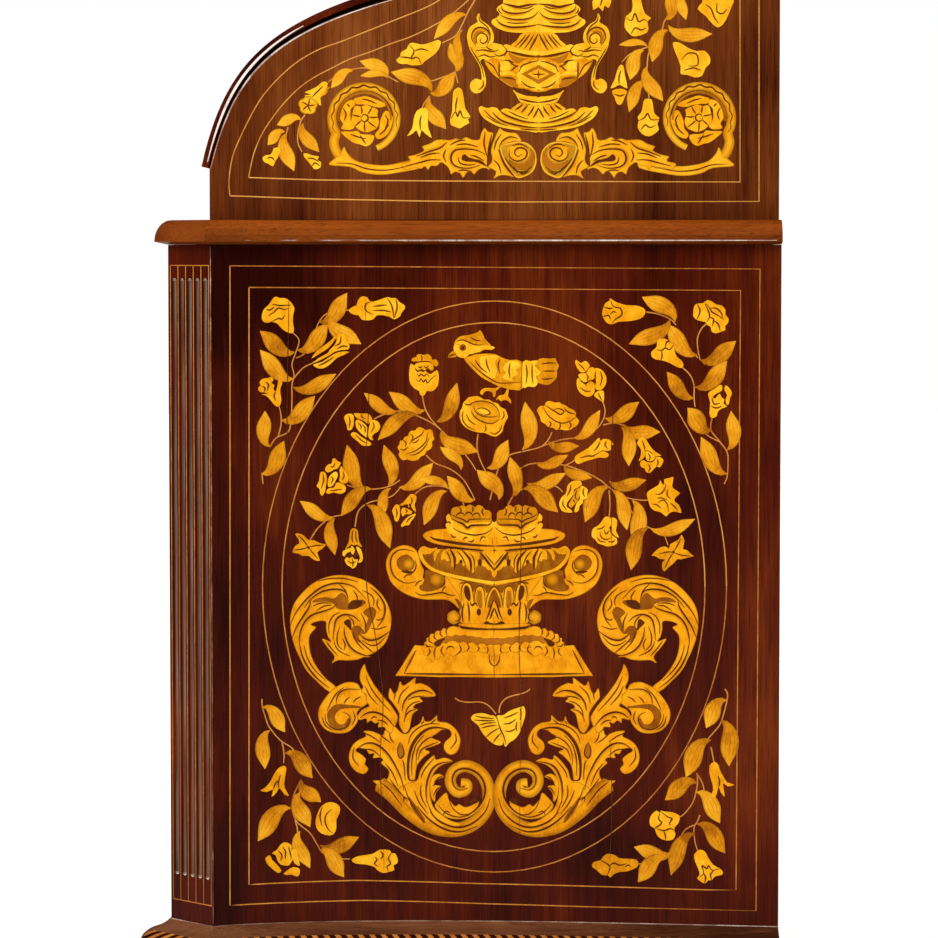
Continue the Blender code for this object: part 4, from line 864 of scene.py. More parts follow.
for curve in runs("""416,379 419,381.5 421,379 423.5,382 425.5,379.5 427.5,383 431,379 436,375/424,366 426,368
    428,366/418,366 420,368 422,366/417,374 419,376 421,374 424,376 427,374 429,377/421,355 422,358 421,361 /
    361,414 362,417 365,419/358,423 361,426 361,430/362,424 365,428 365,433/373,422 374,427 371,432/349,416
    350,422 349,428/356,435 361,440 366,443/330,466 333,467 335,463/343,471 344,476 342,480/331,477 333,479
    331,484/323,474 323.5,481 321,489/330,491 336,490 342,489/409,444.5 413,440 418,437 422,434 424,430 /
    427,433 426.5,440 422,446 415,451 406,454/409,455 415,454.5 421,451 426,445 429,438/403,440 406,443 405,447 /
    411,434 413,437 411,441/400,449 404,450 408,447/412,443 416,442 419,439/396,508 397,513 396,518/405,509
    407,511 405,513/411,497 412,501 411,505/406,523 409,519 413,516/353,530 352,537 353,543/356,531 356,538
    357.5,543/348,561 352,563 356,561/352,558 353,563 352.5,567/308,547 304,541 298,535/308,547 302,549
    294,550/309,547 316,545.5 323,545/309,548 313,553 318,559/470,406 473,402.5 480,401 488,402 494,405
    498.5,411 500,418/463,411 462.5,419 467,426 475,430/473,406 476,412 482,416 490,417 498,416/471,411 475,417
    483,422 492,423.5 499,419.5/476.5,409.5 481,408 487,409.5 490,413.5 484,415 478,412/490,432 495,434 500,430
    502,424.5/464,403 468,405 472,403/466,414 470,421 476,425/485,424 486,429 484,432/503,411 504,416 501,420
    / 580,381 584,383 586.5,386/595.5,371 595,378 596,385/586,373 588,377 587,381/600,371 602,378 600,386 /
    580,387 585,391 591,391/578,363 582,367 585,371/598,393 600,397 602,401/543,407 547,414 553,419.5 561,423
    569,421.5 576,417/545,405 551,409 556,412 562,415/554,409.5 559,408.5 564,411.5 560,414.5 555,412/564,408
    568,412 575,414/549,421 551,424 549,427/560,423 560,427 558,430/569,422 571,425 569,429/600,441 598,446
    594,451/606,441 605,445 608,449/580,458 587,456 594,456.5/642,440 644,446 645,451/648,453 650,457 649,461
    / 648,464 650,468 648,472/657,459 658,463 656,466/577,490 575,496 577,500/573,499 575,503/571,484 570,490
    567,496/563,500 563,505 567,510/584,488 583,493 585,497/596,529 601,528.5 605,525.5/610.5,525 611,532
    615,536.5 619,538/600,532 601,537 606,539.5 611,537.5/604,529 606,534 609.5,530/597,537 600,541 606,542 /
    608,541 612,542 615,540/655,494 660,494 664,490 666,484/658,503 663,500 667,504 668.5,512/671,499 667,495
    668,489/657,498 662,498 667,500/652,504 657,505 662,509/670,503 674,506 678,511/673,552 667,552 658,554 /
    674,551 677,546 681,538/675,553 681,555 690,556/673,553 669,559 665,568"""):
    line(*curve, half=0.42)
outline("ink", dots("347.5,555.5 350,553.5 353,556 356,552 358.5,554 356,558 352,556.5 349,557.5"))
for x, y in dots("308.5,547.5 673.5,552 410,505 610.5,528 573,510"):
    scallop(x, y, 1.3, 1.5, 5, 0, 0.0, 0.05, "ink")

# The bird on the bouquet.
BIRD_SHADES = (-0.3, 0.2, 0.35, -0.5, 0.3, -0.4, 0.15, -0.5, -0.3, -0.3)
for piece, shade in zip(runs("""464,358 470,355 478,354 486,353.5 495,354 502,357.5 510,360 523,362 523,388 514,390
    506,388.5 498,386 490,382 481,377 473,369.5 467,363/480,357 490,355 499,356 495,362 497,370 495,378 488,378
    482,371 480,364/505,364 510,361 518,361.5 521,366 516,370 518,374 512,378 513,381 506,380 502,377 506,373
    503,369/537,360.5 543,358 550,358.5 555,358 557,362 559,366 557,371 557,377 553,382 548,385 541,384 536,381
    535,370/522.5,362 530,361 538,360.5 535,366 541,372.5 536,377 538,382 535,387 528,386.5 522.5,387/454,345
    457,338.5 461,336 468,335 474,333.5 478,332 480,330 483,334 484.5,338 488,342 491,346 482,348 467,346 /
    453.5,350 454,345 457,341.5 462,340 468,342 474,344.5 482,345 490,345.5 495,347.5 491,350 485,349.5 480,352
    476,354.5 470,354 465,358 460,357.5 456,355/447.5,357.5 450,353 453,351 456,353 456,357 452,357.5/480,393.5
    481,390 485,388 490,388 496,388 499,386 501,387 496,391 495.5,396 493,397 492.5,393 489,391 485,391.5 482.5,395
    / 496,400 499,395.5 504,394.5 507,389 509,390 508,396 511,400 511,404 508,401 504,400 501,401.5
    498.5,399"""), BIRD_SHADES):
    bloom(piece, shade=shade)
scallop(462.8, 347.6, 3.4, 3.4, 6, 0, 0.0, 0.05, "shade")
scallop(462.8, 348, 1.5, 1.5, 5, 0, 0.0, 0.05, "ink")
for curve in runs("""457,341.5 463,340 474,344.5 483,345/448,357 452,355 456,354.5/467,357 474,354 482,352 /
    470,362 478,370 489,378 500,383 521,382/475,360 480,367 487,373/486,358 487,365 490,372/500,359 498,366
    500,374/510,363 509,371 510,378/526,364 527,373 526,384/532,364 532,373 533,384/541,364 548,363 556,363 /
    543,371 549,371 556,371/541,379 547,379 553,378/470,337 475,340 481,341"""):
    line(*curve, half=0.45)

# The urn and scrolls are drawn for the left half and turned over for the right.


def both_halves(axis):
    """The tools that draw half of a symmetrical piece: first as it lies, then turned over about an upright axis."""
    for sign in (1, -1):
        def turned(*points):
            return points if sign == 1 else mirrored(points, axis)

        def draw(kind, *points, shade=0.0, steps=3):
            outline(kind, turned(*points), shade, steps)

        def cut(*points, half=0.6):
            shaded_line(turned(*points), half * 0.75, 3.0 * sign)

        def engrave(*lines, half=0.42):
            for points in lines:
                line(*turned(*points), half=half)

        def knob(kind, x, y, rx, ry):
            (x, y), = turned((x, y))
            scallop(x, y, rx, ry, 6, 0, 0.0, 0.06, kind)

        def band(points, wide, narrow, kind="scroll"):
            scroll(turned(*points), wide, narrow, 0.0, kind)

        yield draw, cut, engrave, knob, band


URN_MIDDLE = 494.2
for draw, cut, engrave, knob, band in both_halves(URN_MIDDLE):
    draw("scroll", *dots("""386,566 387,558 391,551 397,547 404,545 411,546.5 416,550 419,556 421,564 424,570 423,578
        426,579 424,584 420,586 421,590 430,591 440,588 445,584 446,575 459,579 462,600 460,609 454,604 447,600
        437,599.5 425,599.5 413,597 401,591.5 392,583.5 388,575"""))
    draw("shade", *dots("420,589 424,581 425,571 429,570 437,572.5 444,576 444,583 439,588 430,591"))
    knob("burn", 436, 579.5, 6, 6)
    draw("shade", *dots("396.5,562 400,556.5 406,554.5 411,557 414.5,562 413,569 405,570.5 399,568.5"))
    knob("burn", 408.5, 564, 5.2, 5.2)
    draw("ink", *dots("401,571 406,570.5 413,571.5 410,573.5 405,573"))
    cut(*dots("414,551.5 406,549.5 398,550.5 392,556 390.5,565 393,574 399,580 407,583 416,581.5"))
    cut(*dots("415,592 421,595 432,594 442,592.5 450,595 456,595"))
    engrave(*runs("""403.5,578 406,575.5 410,574/415,560 416,566 414,571 409,576/446,586 443,589 442,592/422,580
        418,582 415,586"""))
    draw("shade", *dots("455,599 459,600 462,606 460,609 457,603"))
    draw("leaf", *dots("""494,551 482,551 470,550 452,549 440,549 433,549 425,549 420,552 424,562 432,569 445,574
        460,578 480,581 494,583"""), shade=-0.35)
    draw("shade", *dots("423,556 429,554 433,557 434,562 432,566 427,562"))
    draw("shade", *dots("""455,568 458,563 462,566 466,569 471,574 477,570 481,566 489,572 494,578 494,581 478,578
        460,574"""))
    draw("scroll", *dots("446,576 460,580 480,583 494,585 494,624 461,623 460,608 459,596"))
    for tongue in runs("""418.5,552 420,548 424,546 431,548.5 438,547.5 433,551.5 429,554.5 424,554.5/436,549.5
        441,549.5 437.5,554 436,559 434.5,561.5 433.5,557 434,553/442,552 445,549.5 450,548.5 452.5,553 455,560
        455,566 454,570 451.5,565 449.5,560.5 447,561.5 445,559 441.5,560 441,556/451,549 462,550.5 467,556 470,562
        470.5,571 467,568 465.5,565 463,566 461.5,560 459,562 458,567 455,570 456,563 454,556/463,550.5 472,551.5
        480,553 479,559.5 477.5,560 478,565 475,568 474,571.5 471.5,573.5 471,565 468,556/481,552 484,559 481.5,561
        482,567 485,566.5 488,570 491,571 492,576 494,578.5 494,571 490,564 485,557/482,551.5 494,551.5 494,569
        489,562"""):
        draw("flower", *tongue, shade=-0.2)
    engrave(*runs("450,549 454.5,558 454,570/462,550 470,560 471,573/480.5,552 487,561 494,570"), half=0.9)
    engrave(*runs("""446,551 449,556 451,563/457,551 462,557 466,566/470,553 474,560 474,570/485,554 490,560
        494,565"""))
    knob("ink", 480, 562.5, 1.8, 3.4)
    knob("ink", 461, 561.5, 1.6, 1.8)
    band(dots("420,550 421,556 425,563 432,569 442,573 458,577 476,580.5 494,583"), 1.9, 1.6, "flower")
    draw("shade", *dots("""460,584 464,581 478,583 494,586 494,587 490,590 486.5,593 484,588 480,585.5 476,587 473,592
        471,586 467,583"""))
    draw("ink", *dots("465,586 467.5,586 469.5,590 470.2,598 469,601 465.5,597 464,591"))
    draw("shade", *dots("477.4,603 477.4,595 478.6,591 480.6,591 482,596 482,606 480,608"), shade=0.4)
    draw("shade", *dots("487.5,607 489.5,598 492,592 494,590 494,600 491,606"))
    for arch in runs("""462.5,602 461.8,594 462.8,587 466,583.8 470,586 472,594 472.6,603/475.2,605 475.2,596
        476.5,589.5 479.8,587.2 483,590 484,598 484.6,607/486,608 487.5,598 490.5,591 494,587.5"""):
        band(arch, 1.5, 1.3, "flower")
        engrave([(x * 1.12 - 0.12 * arch[len(arch) // 2][0], y - 1.2) for x, y in arch], half=0.35)
    knob("ink", 478.8, 612, 2.2, 3.6)
    draw("ink", *dots("483.5,623.5 486.5,621 490,622.5 494,624 490,624.5"))
    engrave(*runs("""467.5,602 469,611 469,622/490,619 492,613 494,608/470,602 472,605.5 475,603 477.5,606 /
        486,620 489,613 491,606 494,600/463,622 462,612 464,603"""), half=0.6)
    knob("scroll", 454, 617.3, 7, 7)
    engrave(dots("456,611 460,615 459,620 455,621"))
    draw("scroll", *dots("414.5,645 422,645.5 494,647 494,677.7 395.5,676"), steps=1)
    draw("scroll", *dots("""494,630 476,630 462,628.5 455,626 449.5,627 447,629 443.5,628 440.5,631 437,630.5
        434,633.5 430.5,634 429,637.5 426.5,638 426.5,641 424,643 424.5,646 421.5,649 424,652 423.5,655 427,656
        426,660 430,659 432,663 434.5,659 438,660 440,657 444,658 445,654 448,654 452,656.5 456,655.5 460,652.5
        464,652.5 468,651.5 473,653 478,651.5 482,653 486,653 489,655 494,655"""))
    draw("shade", *dots("""433.5,643.5 438,639.5 444,637.5 447,635.5 451,636.5 456,634.5 460,635.8 464,634.8 468,636.3
        472,635.8 476,637.3 480,637 485,638.5 494,638.2 494,645 490,644.3 487,646 484,643.6 480,643.6 477,645.5
        473,642.6 470,642.6 467,644 463,641.4 459,643 453,640.6 449,641.4 446,643.6 443,642.6 440,646 436,646.5"""),
        shade=0.3)
    draw("ink", *dots("434,643.5 438,640 445,638.3 442,641.5 439.5,645.5 436,646"))
    engrave(*runs("""448,627 446,631 447,635/441,631 440,634 443,637/435,633.5 434,637 437,640/429.5,637.5
        429,641 433,643/425,643 427,646 431,646/446,650 448,647 452,646.5 454,649/456,655 461,650 459,644 /
        467,651 469,647 467,644/477.5,651 479,648 477,646/486.5,653 488,650 487,646.5/436,647 434,652 435,658 /
        443,646 441,651 444,656/427,656 430,652 429,648/489,655 489.5,661 492,665 494,666"""))
    draw("scroll", *dots("459,623.5 475,623.5 494,624.5 494,628.5 476,628 461,626.5"))
    cut(*dots("459.5,625 462,627.3 475,628.7 494,629.6"), half=1.2)
    cut(*dots("416,650 410.5,661 404,673.5"))
    cut(*dots("404,673.5 440,674 494,674.6"), half=0.8)
    draw("scroll", *dots("""423,536 425,532.5 434,529.5 446,528.5 460,527 494,527 494,550 478,549.3 456,547 438,544.5
        427,540.5"""))
    cut(*dots("430,536.5 435,539.2 446,541.3 462,543.8 480,545.4 494,546"), half=1.4)
    draw("flower", *dots("""448,527 452,535.5 456,537 460,540 464,540 470,542.3 475,540.5 479,541 484,540 488,540.5
        491,537.5 494,537 494,522"""))
    draw("flower", *dots("""451,511 453.5,507.3 459,506.5 463,505 466,506.5 469,504.6 472.5,505.3 475,507 478,505
        482,506 485,509.5 489,510.3 491.5,513.5 491.5,519 492.5,523 480,527 467,529 455,523 451,518"""), shade=-0.6)
    draw("flower", *dots("""446,517 449,513.5 451.5,518.5 458,522 463,524.5 467.5,528 471,526 480,525.5 489,525
        492,521 494,524 492,529 487,532.5 480,534.5 473,535 465,533.5 458,531 453,527.5 447,528 445.5,524.5
        447,522"""), shade=0.1)
    cut(*dots("451,518.5 457,521.5 463,524 467.5,527.8 471,525.5 480,525 489,524.5 492,520.5"), half=1.0)
    engrave(*runs("""451,514 456,517 463,519.5 467,522 470,519.5 480,519 491,519/453,527.5 458,531 465,533.5 473,535
        480,534.5 487,532.5 493,527.5/456,516 458,513.5 462,513 465,516/465,515 467,512.5 471,513 473,517 /
        473,515 476,513 479,514 480,518/459,507 461,510 460,513/472,506 473,509 472,512/483,508 482,512 484,516
        / 451,534 453,537 456,536.5/463,540 465,537.5 468,538/468,541 472,541.5 474,539/480,541 482,537
        486,537.5/446,522.5 449,522 451,524"""), half=0.5)

    draw("scroll", *dots("""336,687 326,678.5 317,667 311.5,656 309.3,645 310,635 316,627.5 311,624.5 317,621.5
        325.5,621.5 326,629 328,637 331,641.5 322,638.5 327,647 334.5,656.5 331.5,663.3 338,660.3 348,660.5 358,659.5
        366,656 372,654 379,649.5 386,642 390,631 391.5,620 390,610 385,599 378,590 368,582 357,577.5 345,575
        334,575.3 322,578.5 311,584.5 302,593 295,602 291,612 290,624 292,638 297,652 304,665 315,679.5 329.5,692"""))
    draw("shade", *dots("""312,602 318,598 327,597.3 334,598.5 341,593 346,596 348.5,603 353,600 362,600 366,602
        361,606.5 354,609.3 345,609.6 337,608.5 334,604 327,601.5 319,602"""))
    draw("ink", *dots("349.5,603 353,600.5 362,600.5 360,606 353,609 348,608"))
    draw("shade", *dots("363,612.5 368,608 372.5,607 376,611 375,617 372,622 369,629 365,633.5 366,625 368,618"))
    draw("ink", *dots("344,622 347.5,619.3 350.5,620.5 351.3,630 348.5,627.5 345,624.5"))
    draw("shade", *dots("352,628 358,625.5 362,628.5 365,633.5 360,634 358.5,638 361,642.5 355,640 352,634"))
    for curve in runs("""290,626 295,614 303,603 312,594 322,587 333,583.5 344,583.5 355,587.5 366,599/292,638
        297,626 304,615 309,607 311,600/304,608 311,599 320,592.5 330,589.5 340,589.5 346,593 348.5,602/299.3,645
        299.5,637 302,627 307,619 314,614 324,611 332,608 336,604.5/299.3,643 302,655 308,667 317,678 329,688 /
        370,587 378,594 384,603 385,611 382.5,620 377,627/390,631 383,636 376,639.5 368,640 362,636.5 359,632 /
        344,627 345,636 349,645 355,651 364,655 372,656.5/333,640 334,629 336,620 341,615.5 348,614.5 355,617
        360,622"""):
        cut(*curve, half=0.8)
    engrave(*runs("""313,606 321,603 331,603/316,611 324,606 332,605/338,583 345,590 348,597/353,590 357,596
        357,600/362,590 371,595 374,601 373,606/378,598 377,605 381,611/384,617 379,620 376,619/371,628
        378,629 387,626/329,634 329,624 333,616 340,612/340,626 337,636 338,645 343,650/344,650 345,644 342,638
        / 334,641 336,647 341,652 350,656/326,641 331,648 338,656/357,637 362,643 370,650 374,653/362,640
        370,645 378,644 386,636/353,631 356,641 364,650/304,645 307,657 314,669 326,681/318,581 330,578.5
        345,578.5 358,582/361,613 365,622 365,631/347,615 353,621 354,628"""))

    draw("scroll", *dots("""335,687.5 345,682.5 352,682 358,684 361,689 367,697 368,703 361,708 357,713 358.3,719
        355,726 348,732 338,733.5 327,730.5 320,723 318,713 321,704 329,693"""))
    draw("shade", *dots("""327,714 332,707 337,704.3 346,704.5 355,705.5 361,707.5 350,708 341,709 336,713 335,719
        339,724 345,723.5 348,718 349.8,721 345,727.5 337,728.5 330,725"""))
    cut(*dots("325,714 326,721 331,727 338,729.5 346,727.5 350,721 348.5,715 343,712"))
    cut(*dots("336,704 337,697 341,691.5 348,689 360,689.5"))
    engrave(*runs("""344,703.5 346,700 350,696.5/353,702.5 356,699 361,696.5/327,711 331,702 336,694 344,687 /
        322,716 325,725 333,730.5/353,711 355,718 352,725"""))
    draw("scroll", *dots("""364.5,664 360.5,671 360,680 363,687 361,691 366,695 366,701 369,706 362,709.5 357,717
        360,720 366,718.5 367,723 371,720.5 375,723.5 379,722 378,727 384,727 386,730 391,733 395,727 398,717 394,709
        386,698 376,687 371,679 366.5,670"""))
    cut(*dots("360,718 366,713.5 373,712 381,714 388,719 394,726.5"), half=0.9)
    engrave(*runs("""366,676 371,688 379,699 390,711/365,686 370,696 378,705/377,720 383,721 388,725/371,719
        374,716.5 377,718/377,688 385,698 392,706 398,716"""))
    draw("scroll", *dots("""404,733 399,724 399,713 392,702 388.5,697 390,688 394,693.5 397.5,690 400,681 403,685.5
        409,682 415.5,677.5 415.5,683.5 421,683 430,687.5 436,695.5 428,697 420,697.5 423,701.5 416,704 413.5,708
        418,709.5 413,714 411,722 409,730"""))
    cut(*dots("402,711 404,702 409,695.5 416,691.5 425,690.5 433,694"), half=0.9)
    engrave(*runs("""405,718 407,709 413,703 420,701/404,722 406,715 411,710.5 416,709.5/398,704 401,694 409,686 /
        394,700 395,694 394,691/408,700 414,697 424,696"""))
    draw("scroll", *dots("""402,733 394,726 391,733 385,730 383,735 377,733 371,731 363.5,731 366,736 360,739
        353,744.5 349,754 350,764 356,771.5 364,774 368.5,769 365,764 366,759 361,754 356,751 358,748 366,749.5
        369,754 374,753.5 373,758 380,757.5 383,760 381,763 386.5,768 389,772 386,780 373,780.5 380,787 390,798
        402,812 414,805 412,790 415,780 417,766 424,757 430,752 425,749 434,746 441,742 432,737.5 437,733.5 442,730
        449.5,730 451,736 445,742 444,749 449,754.5 456,753 460,745 460,737 455,728 447,722.5 438,721 437,715
        431,720.5 425,721 423,716 420,723 412,728 408,733"""))
    cut(*dots("415,780 409,779 408,765 410,752 414,742 421,733.5 429,728.5 438,727.5 449,729.5"), half=1.5)
    cut(*dots("357,749 364,744 372,743 380,746.5 388,754 395,765 401,778 404,790"), half=0.9)
    draw("shade", *dots("399.5,743 402,746 404,751 403,756 400,757.5 398,754 398,748"), shade=0.3)
    engrave(*runs("""400,742 397.5,749 398.5,756 401,758 404,754 403,747 400.5,742/379,733 384,738 391,743/389,733
        391,739 394,743/362,732 371,736 380,742/421,724 424,721/430,724 436,719/408,744 411,735 418,728
        428,724 440,724/416,765 417,752 422,743 430,737.5 434,738/418,760 421,750 430,745 438,742/412,776
        412,760 416,745 424,735/362,749 372,750 380,756/385,763 392,772 398,786/380,782 390,790 402,806 /
        389,778 398,790 408,802/354,747 353,758 359,766/455,733 456,741 450,749/405,780 404,765 402,760"""))
    band(dots("""378,783 392,794 410,812 430,825.5 452,830 471,825 484,813 489,797 486,781 477,770 464,766 453,772
        450.5,783 457,792 466,790 467,784 461,783"""), 8.0, 4.8)
    draw("scroll", *dots("""398,790 408,783 417,780 420,771 426,762 434,755 436,759.5 445,757.5 453,761.5 444,764
        436,770 431,780 430,792 433,806 441,814 452,821 464,824 448,828 425,822 408,806"""))
    draw("scroll", *dots("""435,807 438,800 446,792.5 449,799 455,806 459,804 465,807 472,805 479,801 475,813 462,819
        446,817"""))
    draw("scroll", *dots("""432,777 438,773.5 444,776.5 437,780 433,786 435,785 441,786.5 436,793 435,802 431,797
        430,785"""))
    draw("shade", *dots("409,797 414,803 420,811.5 424.5,819 424,823 417,815.5 411,806"))
    draw("ink", *dots("470,800 476,797.5 478,802 471,804"))
    for curve in runs("""427,803 426,790 428,778 433,768 441,763 453,761.5/427,801 433,815 443,823 455,827 466,826
        477,820 486,810 490,798/417,806 430,820 446,829.5 462,831.5 477,826/448,796 452,807 460,814 469,814
        478,807 484,797 485,787 481,777 473,770.5 464,768.5 456,771 452.5,778 454,786 460,790 468,788"""):
        cut(*curve, half=0.9)
    engrave(*runs("""404,785 409,799 416,810 424,822/421,778 424,770 434,758/437,804 446,813 458,817 470,815 /
        443,815 446,811 450,813/434,783 438,778 443,776/433,796 437,789 441,787/404,802 404,797 409,800 /
        414,790 419,802 428,814/421,785 421,796 427,808/430,812 440,822 452,826"""))

# The butterfly under the scrolls.
outline("flower", dots("""471,719 472,715.5 476,713.5 483,713 490,715 495,716 498,722 500,730 502.5,737 503,744
    499,745.5 494,744 488,739.5 482,732.5 478.5,726 474,722"""), 0.1)
outline("flower", dots("""497,715.5 503,715 509,711 514,709 520,707 524,706.5 525.5,712 524.5,719 522,726 519.5,733
    515,739 509,743 505.5,747 503.5,742 502,736 499.5,728 498,721"""), 0.3)
for curve in runs("""455,698 460,701 468,702.2 480,702 487,704.5 492,709 496,714/499,713 500,706 504,700 510,696.5
    520,694 526,692 530,689"""):
    stem(*curve)
for curve in runs("""475,716 483,717.5 494,718.5/474,720 484,720.5 495,720.5/479,725 487,723 496,722.5/481,728
    489,726 497,725/486,737 492,732 499,728/493,742.5 497,737 501,733/497,718 500,728 504,737 506,745/520,708
    521,714 520,720/517,721 516,727 517,731/504,718 511,715.5 518,712/503,724 510,723 516,719/505,731 511,731
    516,728"""):
    line(*curve, half=0.45)

# Fine cracks that have come up through the veneer: a dark line over a pale strip that is a painted highlight.
for crack in runs("""289,292 288,350 287,420 288,470/365,296 366,330 369,370 368,420 365,470 366,540 367,590 376,640
    383,700 380,760 383,830 384,870/521,296 522,360 520,420 523,480 521,540 520,600 519,650 521,700 520,770 519,880
    / 614,390 612,430 611,480 612,560/610,740 612,800 610,860"""):
    # Pale strip: painted highlight along the crack.
    line(*crack, half=0.28, kind="wear_and_highlight")
    line(*crack, half=0.26)
on_both_sides("lower_inlay")

# Fall marquetry: the same bouquet at two thirds of its size, between four sprays and two strings, laid on
# the veneer along its curve.

MIDDLE = RUN[-1] / 2
BOUQUET_X, BOUQUET_Y, BOUQUET_UNIT = 494, 587, 0.00060
lay("fall_bouquet", lambda x, y: (MIDDLE - (y - BOUQUET_Y) * BOUQUET_UNIT, (x - BOUQUET_X) * BOUQUET_UNIT), on_fall,
    "fall", VENEER_ROWS[1:-1])
new_sheets(17)
FALL_REACH = 476
high = MIDDLE * 1000 - 20
for inset in (0, 12):
    edge, end = high - inset, FALL_REACH - inset
    string((-end, -edge), (end, -edge), (end, edge), (-end, edge), closed=True)
for way in (1, -1):
    spray(way * 176, -92, way * 1.45, 1.0)
    spray(way * 176, 92, way * 1.45, -1.0)
    rose(way * 176, 0, 17, 15)
lay("fall_sprays", lambda x, y: (MIDDLE - y / 1000, x / 1000), on_fall, "fall", VENEER_ROWS[1:-1])

# Upper side panels: a pedestal urn between two ringed rosettes, with acanthus under it and sprays that
# come down from above. Two strings follow the ogee edge of the desk's side.

new_sheets(23, 0.22)
EDGE = dots("""230,195.8 229,180 232.5,157 240,138 250,117.5 260,100 271,86 285,72 300,60 320,49 340,42 360,34 380,26
    400,18 420,10 438,1 455,-14 470,-34 481,-58 488,-86""")
INNER_EDGE = dots("""248.7,177.5 251,165 255,150 262.5,133 273,117 285,102 298,89 313,78 330,69 350,59 370,52 390,44
    410,37 430,27.5 447,17.5 460,7.5 472,-4 487,-24 499,-48 506,-72""")
string(*smooth(EDGE, 3), *dots("759,-86 759,201.4 515,202 420,201 320,199"), closed=True)
string(*smooth(INNER_EDGE, 3), *dots("740,-72 740,182 440,181 320,180"), closed=True)

for shape in dots("""353,71,331,88,6 388,76,360,61,7 388,78,360,76,4 432,92,391,72,9 430,93,455,73,8 455,72,450,43,8
    461,32,460,59,5 467,15,434,39,7 430,98,446,129,8 303,123,319,152,7 301,120,277,125,6 285,132,267.5,145,6
    287,133,294,171,8 648,47,619,45,4 644,50,630,80,8 668,30,652,62,8 668,25,712,34,8 647,81,629,112,7
    647,66,663,101,8 666,20,670,-8,7 684,-10,686,20,6 330,88,322,96,3"""):
    leaf(*shape)
for curve in runs("""475,0 468,12 462,25 455,36 442,43/462,30 455,40 452,50/455,72 458,83/420,83 435,80 455,72 /
    430,96 425,102 422,108/328,82 343,72 362,68 373,70 387,76 398,82/305,115 301,121 298,132 298,143 302,152 /
    288,127 286,135 281,147/664,22 660,36 652,45 642,49 630,54 622,62/652,45 648,56 647,74 648,88 649,98/664,22
    676,4 694,-14 700,-40"""):
    stem(*curve)
bloom(*runs("""441,41.5 437,40 430.5,42.5 421.5,44.5 413,42.5 408.5,44.5 406.5,49 401,52 400,56.5 396,60 400,64
    406.5,64 412,65.5 421.5,65 424,62 430.5,57.5 437,52 440,46.5/408.5,44.5 414,51 411,58.5 417.5,57.5 421.5,65 /
    414,51 421.5,49 428.5,51/400,57 406.5,57.5 412,58.5"""))
bloom(*runs("""424,107.5 428.5,111 428,119.5 428.5,128.5 432,138 425,133.5 421.5,130.5 419.5,137.5 416.5,130.5
    413,133.5 407,136 412,128.5 413.5,119.5 416.5,111/420.5,130.5 420,121.5 421.5,115"""), shade=0.25)
bloom(*runs("""455.5,89 458.5,87.5 462,90 464,99 465.5,108.5 470.5,116.5 468,119.5 469.5,123 464,126 460,128.5
    455.5,127 451,125 450,119.5 452,111 452.5,99 453.5,91.5/451,118.5 455.5,112 457.5,116.5 460,111 463,117.5
    469.5,117.5/455.5,112 456,104 457.5,97"""))
bloom(*runs("""323,81.5 328,83.5 325,92.5 320.5,98 321.5,105.5 318.5,104.5 315,100 310,100 304.5,95.5 311,94.5
    304.5,92.5 310,90 317.5,86/312,97 317,92 323,86"""))
DAISY_X, DAISY_Y, DAISY_TURN = 308, 105.5, 1.257
scallop(DAISY_X, DAISY_Y, 10, 9.5, 5, 20, -0.1, 0.14)
for turn in [k * DAISY_TURN for k in range(5)]:
    line((DAISY_X, DAISY_Y), (DAISY_X + 3 * math.cos(turn), DAISY_Y + 3 * math.sin(turn)),
         (DAISY_X + 7 * math.cos(turn - 0.1), DAISY_Y + 7 * math.sin(turn - 0.1)))
bloom(*runs("""274,148 279.5,147.5 280.5,151 278,157.5 275,162 273,166.5 268.5,164 264,162 262.5,157.5 266.5,155
    270.5,154.5 273,150/266.5,158.5 271.5,157.5 275,161"""))
bloom(*runs("""303.5,153.5 307.5,153.5 313,155.5 319,156.5 317.5,160 321,162 320.5,167.5 315,169.5 312,166.5 308.5,162
    304.5,157.5/307.5,158.5 313,158.5 319,162/312,166 315,163 320,166"""))
bloom(*runs("""632.5,-2 640.5,-2 641.5,2.5 645,13.5 651,18 647.5,21.5 648.5,27.5 646.5,33 636,36.5 630.5,35 624.5,27.5
    625,20.5 626,16 631.5,11.5 632.5,4.5/626,18 631.5,20.5 635,13.5 638.5,21.5 644,19.5 647.5,21.5/631,34 635,28
    641,30 646,28"""))
bloom(*runs("594,-4 611,-4 609,8 604.5,5.5 603,11.5 598.5,7 593,10/600,6 602,0 603,-3"))
bloom(*runs("""620,65 623.5,66 625,75 627.5,88.5 620,85 614.5,87.5 610.5,88 614.5,79.5 617,70.5/619,84 619,77
    621,70"""), shade=0.15)
bloom(*runs("612,91 620,88.5 627,91 625,96.5 621.5,104.5 617,104 614.5,97.5/614,94 620,96 625,94"), shade=-0.2)
bloom(*runs("""645,99 651,99 653,104.5 654.5,113.5 659.5,118 657.5,124 659,129.5 654.5,134 648.5,136.5 642,134
    637.5,127.5 638.5,120.5 637.5,117 641.5,111.5 643,103.5/638.5,120.5 644,118 647.5,113.5 651,119.5 659,119.5 /
    641,130 645,125 650,127.5 655.5,125"""))
bloom(*runs("""673.5,42 680.5,43 687.5,47.5 696.5,51 704.5,50.5 710,57 710,63.5 705.5,68 702,76 694,77.5 687.5,75
    680.5,74 680.5,66 676,54.5 673,46.5/681.5,60 687.5,53.5 696.5,54.5 697.5,65 687.5,66/684,70.5 693,68
    701,70.5"""), shade=-0.1)
bloom(*runs("""697.5,9 702,2.5 705.5,-2.5 732.5,-2.5 731.5,7 727,18 722.5,25 717,27.5 710,21.5 705.5,16/705.5,4.5
    711,9 714.5,18 719,24/717,2.5 717,11.5 722.5,13.5 727,9"""), shade=-0.1)
rose(700, -46, 18, 16, -10)
RING_X, RING_Y = 364.5, 118.5
